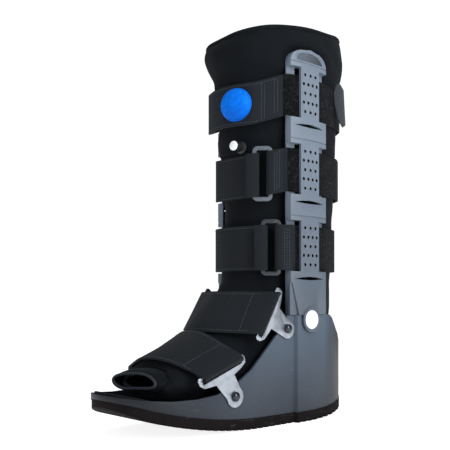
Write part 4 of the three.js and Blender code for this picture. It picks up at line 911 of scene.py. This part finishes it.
def foot_place(surface, band, share, turn):
    """A point of a foot strap's outer face, by its share of the width and its turn up from the near side."""
    side = Vector((0, (TOE_Y + SOLE_LENGTH * foot_edge(band, share, "side")) * MM,
        LINER_TOP * foot_edge(band, share, "side_up") * MM))
    ridge = Vector((0, (TOE_Y + SOLE_LENGTH * foot_edge(band, share, "ridge")) * MM,
        LINER_TOP * foot_edge(band, share, "ridge_up") * MM))
    up = (ridge - side).normalized()
    aside = Vector((1, 0, 0)) * cos(radians(turn)) + up * sin(radians(turn))
    return surface.ray_cast(side + aside * 0.15, -aside)[:2]


def sew(whole, line):
    """Adds stitches at an even pitch along a line of points with their normals."""
    bm = bmesh.new()
    carried = 0.0
    for (a, normal), (b, _) in zip(line, line[1:]):
        step = b - a
        if step.length > 0.012 or step.length < 1e-7:
            continue
        while carried < step.length:
            forward = step.normalized()
            across = normal.cross(forward).normalized()
            turn = Matrix((forward, across, forward.cross(across))).transposed().to_4x4()
            size = Matrix.Diagonal((STITCH_LONG, STITCH_THICK, STITCH_THICK, 1))
            spot = Matrix.Translation(a + forward * carried + normal * STITCH_THICK * 0.4)
            bmesh.ops.create_icosphere(bm, subdivisions=1, radius=1, matrix=spot @ turn @ size)
            carried += STITCH_PITCH
        carried -= step.length
    row = bpy.data.meshes.new("row")
    bm.to_mesh(row)
    bm.free()
    whole.from_mesh(row)
    bpy.data.meshes.remove(row)


def sewn_seams():
    whole = bmesh.new()
    steps = 40
    trees = {node: surface_of(made) for node, made in BANDS.items()}
    for label, node, turn_a, turn_b, up_a, up_b in LEG_SEAMS:
        line = [leg_place(trees[node], LEG_BANDS[label], turn_a + (turn_b - turn_a) * i / steps,
            up_a + (up_b - up_a) * i / steps) for i in range(steps + 1)]
        sew(whole, [hit for hit in line if hit[0] is not None])
    for node, share_a, share_b, turn_a, turn_b in FOOT_SEAMS:
        line = [foot_place(trees[node], FOOT_BANDS[node], share_a + (share_b - share_a) * i / steps,
            turn_a + (turn_b - turn_a) * i / steps) for i in range(steps + 1)]
        sew(whole, [hit for hit in line if hit[0] is not None])
    piece("seam_stitches", whole, THREAD, "boot", (), 60)


sewn_seams()

# Pump bulb and valve

BULB_FULL = 1.09


def soft_dome():
    """The bulb, its facets smoothed to a round dome over a rolled foot."""
    bm = copy_of("pump_bulb", True)
    middle = sum((v.co for v in bm.verts), Vector()) / len(bm.verts)
    for vertex in bm.verts:
        vertex.co = middle + (vertex.co - middle) * BULB_FULL
    smoothed(piece("pump_bulb_dome", bm, BULB, "boot", ("pump_bulb",), 60), 2)


soft_dome()

KNURLS = 22
KNURL_RIM = 0.00012
KNURL_DEPTH = 0.0005
VALVE_TURN = radians(10)
VALVE_SLIMMER = 0.86


def knurled_knob():
    """The valve's collar: a round knob with a ring of grip ribs."""
    solid = copy_of("valve_collar")
    spread = [v.co.copy() for v in solid.verts]
    solid.free()
    middle = sum(spread, Vector()) / len(spread)
    out = Vector((sin(VALVE_TURN), -cos(VALVE_TURN), 0))
    heights = [(p - middle).dot(out) for p in spread]
    radius = VALVE_SLIMMER * max(((p - middle) - out * (p - middle).dot(out)).length for p in spread)
    depth = max(heights) - min(heights)
    turn = out.to_track_quat("Z", "Y").to_matrix().to_4x4()
    place = Matrix.Translation(middle + out * (max(heights) + min(heights)) / 2)
    round_radius = radius * 0.98
    bm = bmesh.new()
    bmesh.ops.create_cone(bm, cap_ends=True, segments=KNURLS * 2, radius1=round_radius, radius2=round_radius,
        depth=depth)
    side = [f for f in bm.faces if abs(f.normal.z) < 0.5]
    bmesh.ops.inset_individual(bm, faces=side[::2], thickness=KNURL_RIM, depth=-KNURL_DEPTH)
    bmesh.ops.transform(bm, matrix=place @ turn, verts=bm.verts)
    piece("valve_collar_knob", bm, DARK_PLASTIC, "valve", ("valve_collar",), 30)


def slim_cap():
    """The valve's white cap, a little slimmer than its solid."""
    bm = copy_of("valve_cap")
    out = Vector((sin(VALVE_TURN), -cos(VALVE_TURN), 0))
    middle = sum((v.co for v in bm.verts), Vector()) / len(bm.verts)
    for vertex in bm.verts:
        ahead = out * (vertex.co - middle).dot(out)
        vertex.co = middle + ahead + (vertex.co - middle - ahead) * VALVE_SLIMMER
    piece("valve_cap_disc", bm, WHITE, "valve", ("valve_cap",), 40)


knurled_knob()
slim_cap()

# Floor


def studio_floor():
    bm = bmesh.new()
    bmesh.ops.create_grid(bm, x_segments=1, y_segments=1, size=6)
    mesh = bpy.data.meshes.new("studio_floor")
    bm.to_mesh(mesh)
    bm.free()
    floor = bpy.data.objects.new("studio_floor", mesh)
    bpy.context.scene.collection.objects.link(floor)
    material, shader = new_material("floor_white", 0.9)
    shader.inputs["Base Color"].default_value = (0.7, 0.7, 0.7, 1)
    shader.inputs["Emission Color"].default_value = (1, 1, 1, 1)
    shader.inputs["Emission Strength"].default_value = 0.86
    mesh.materials.append(material)


studio_floor()
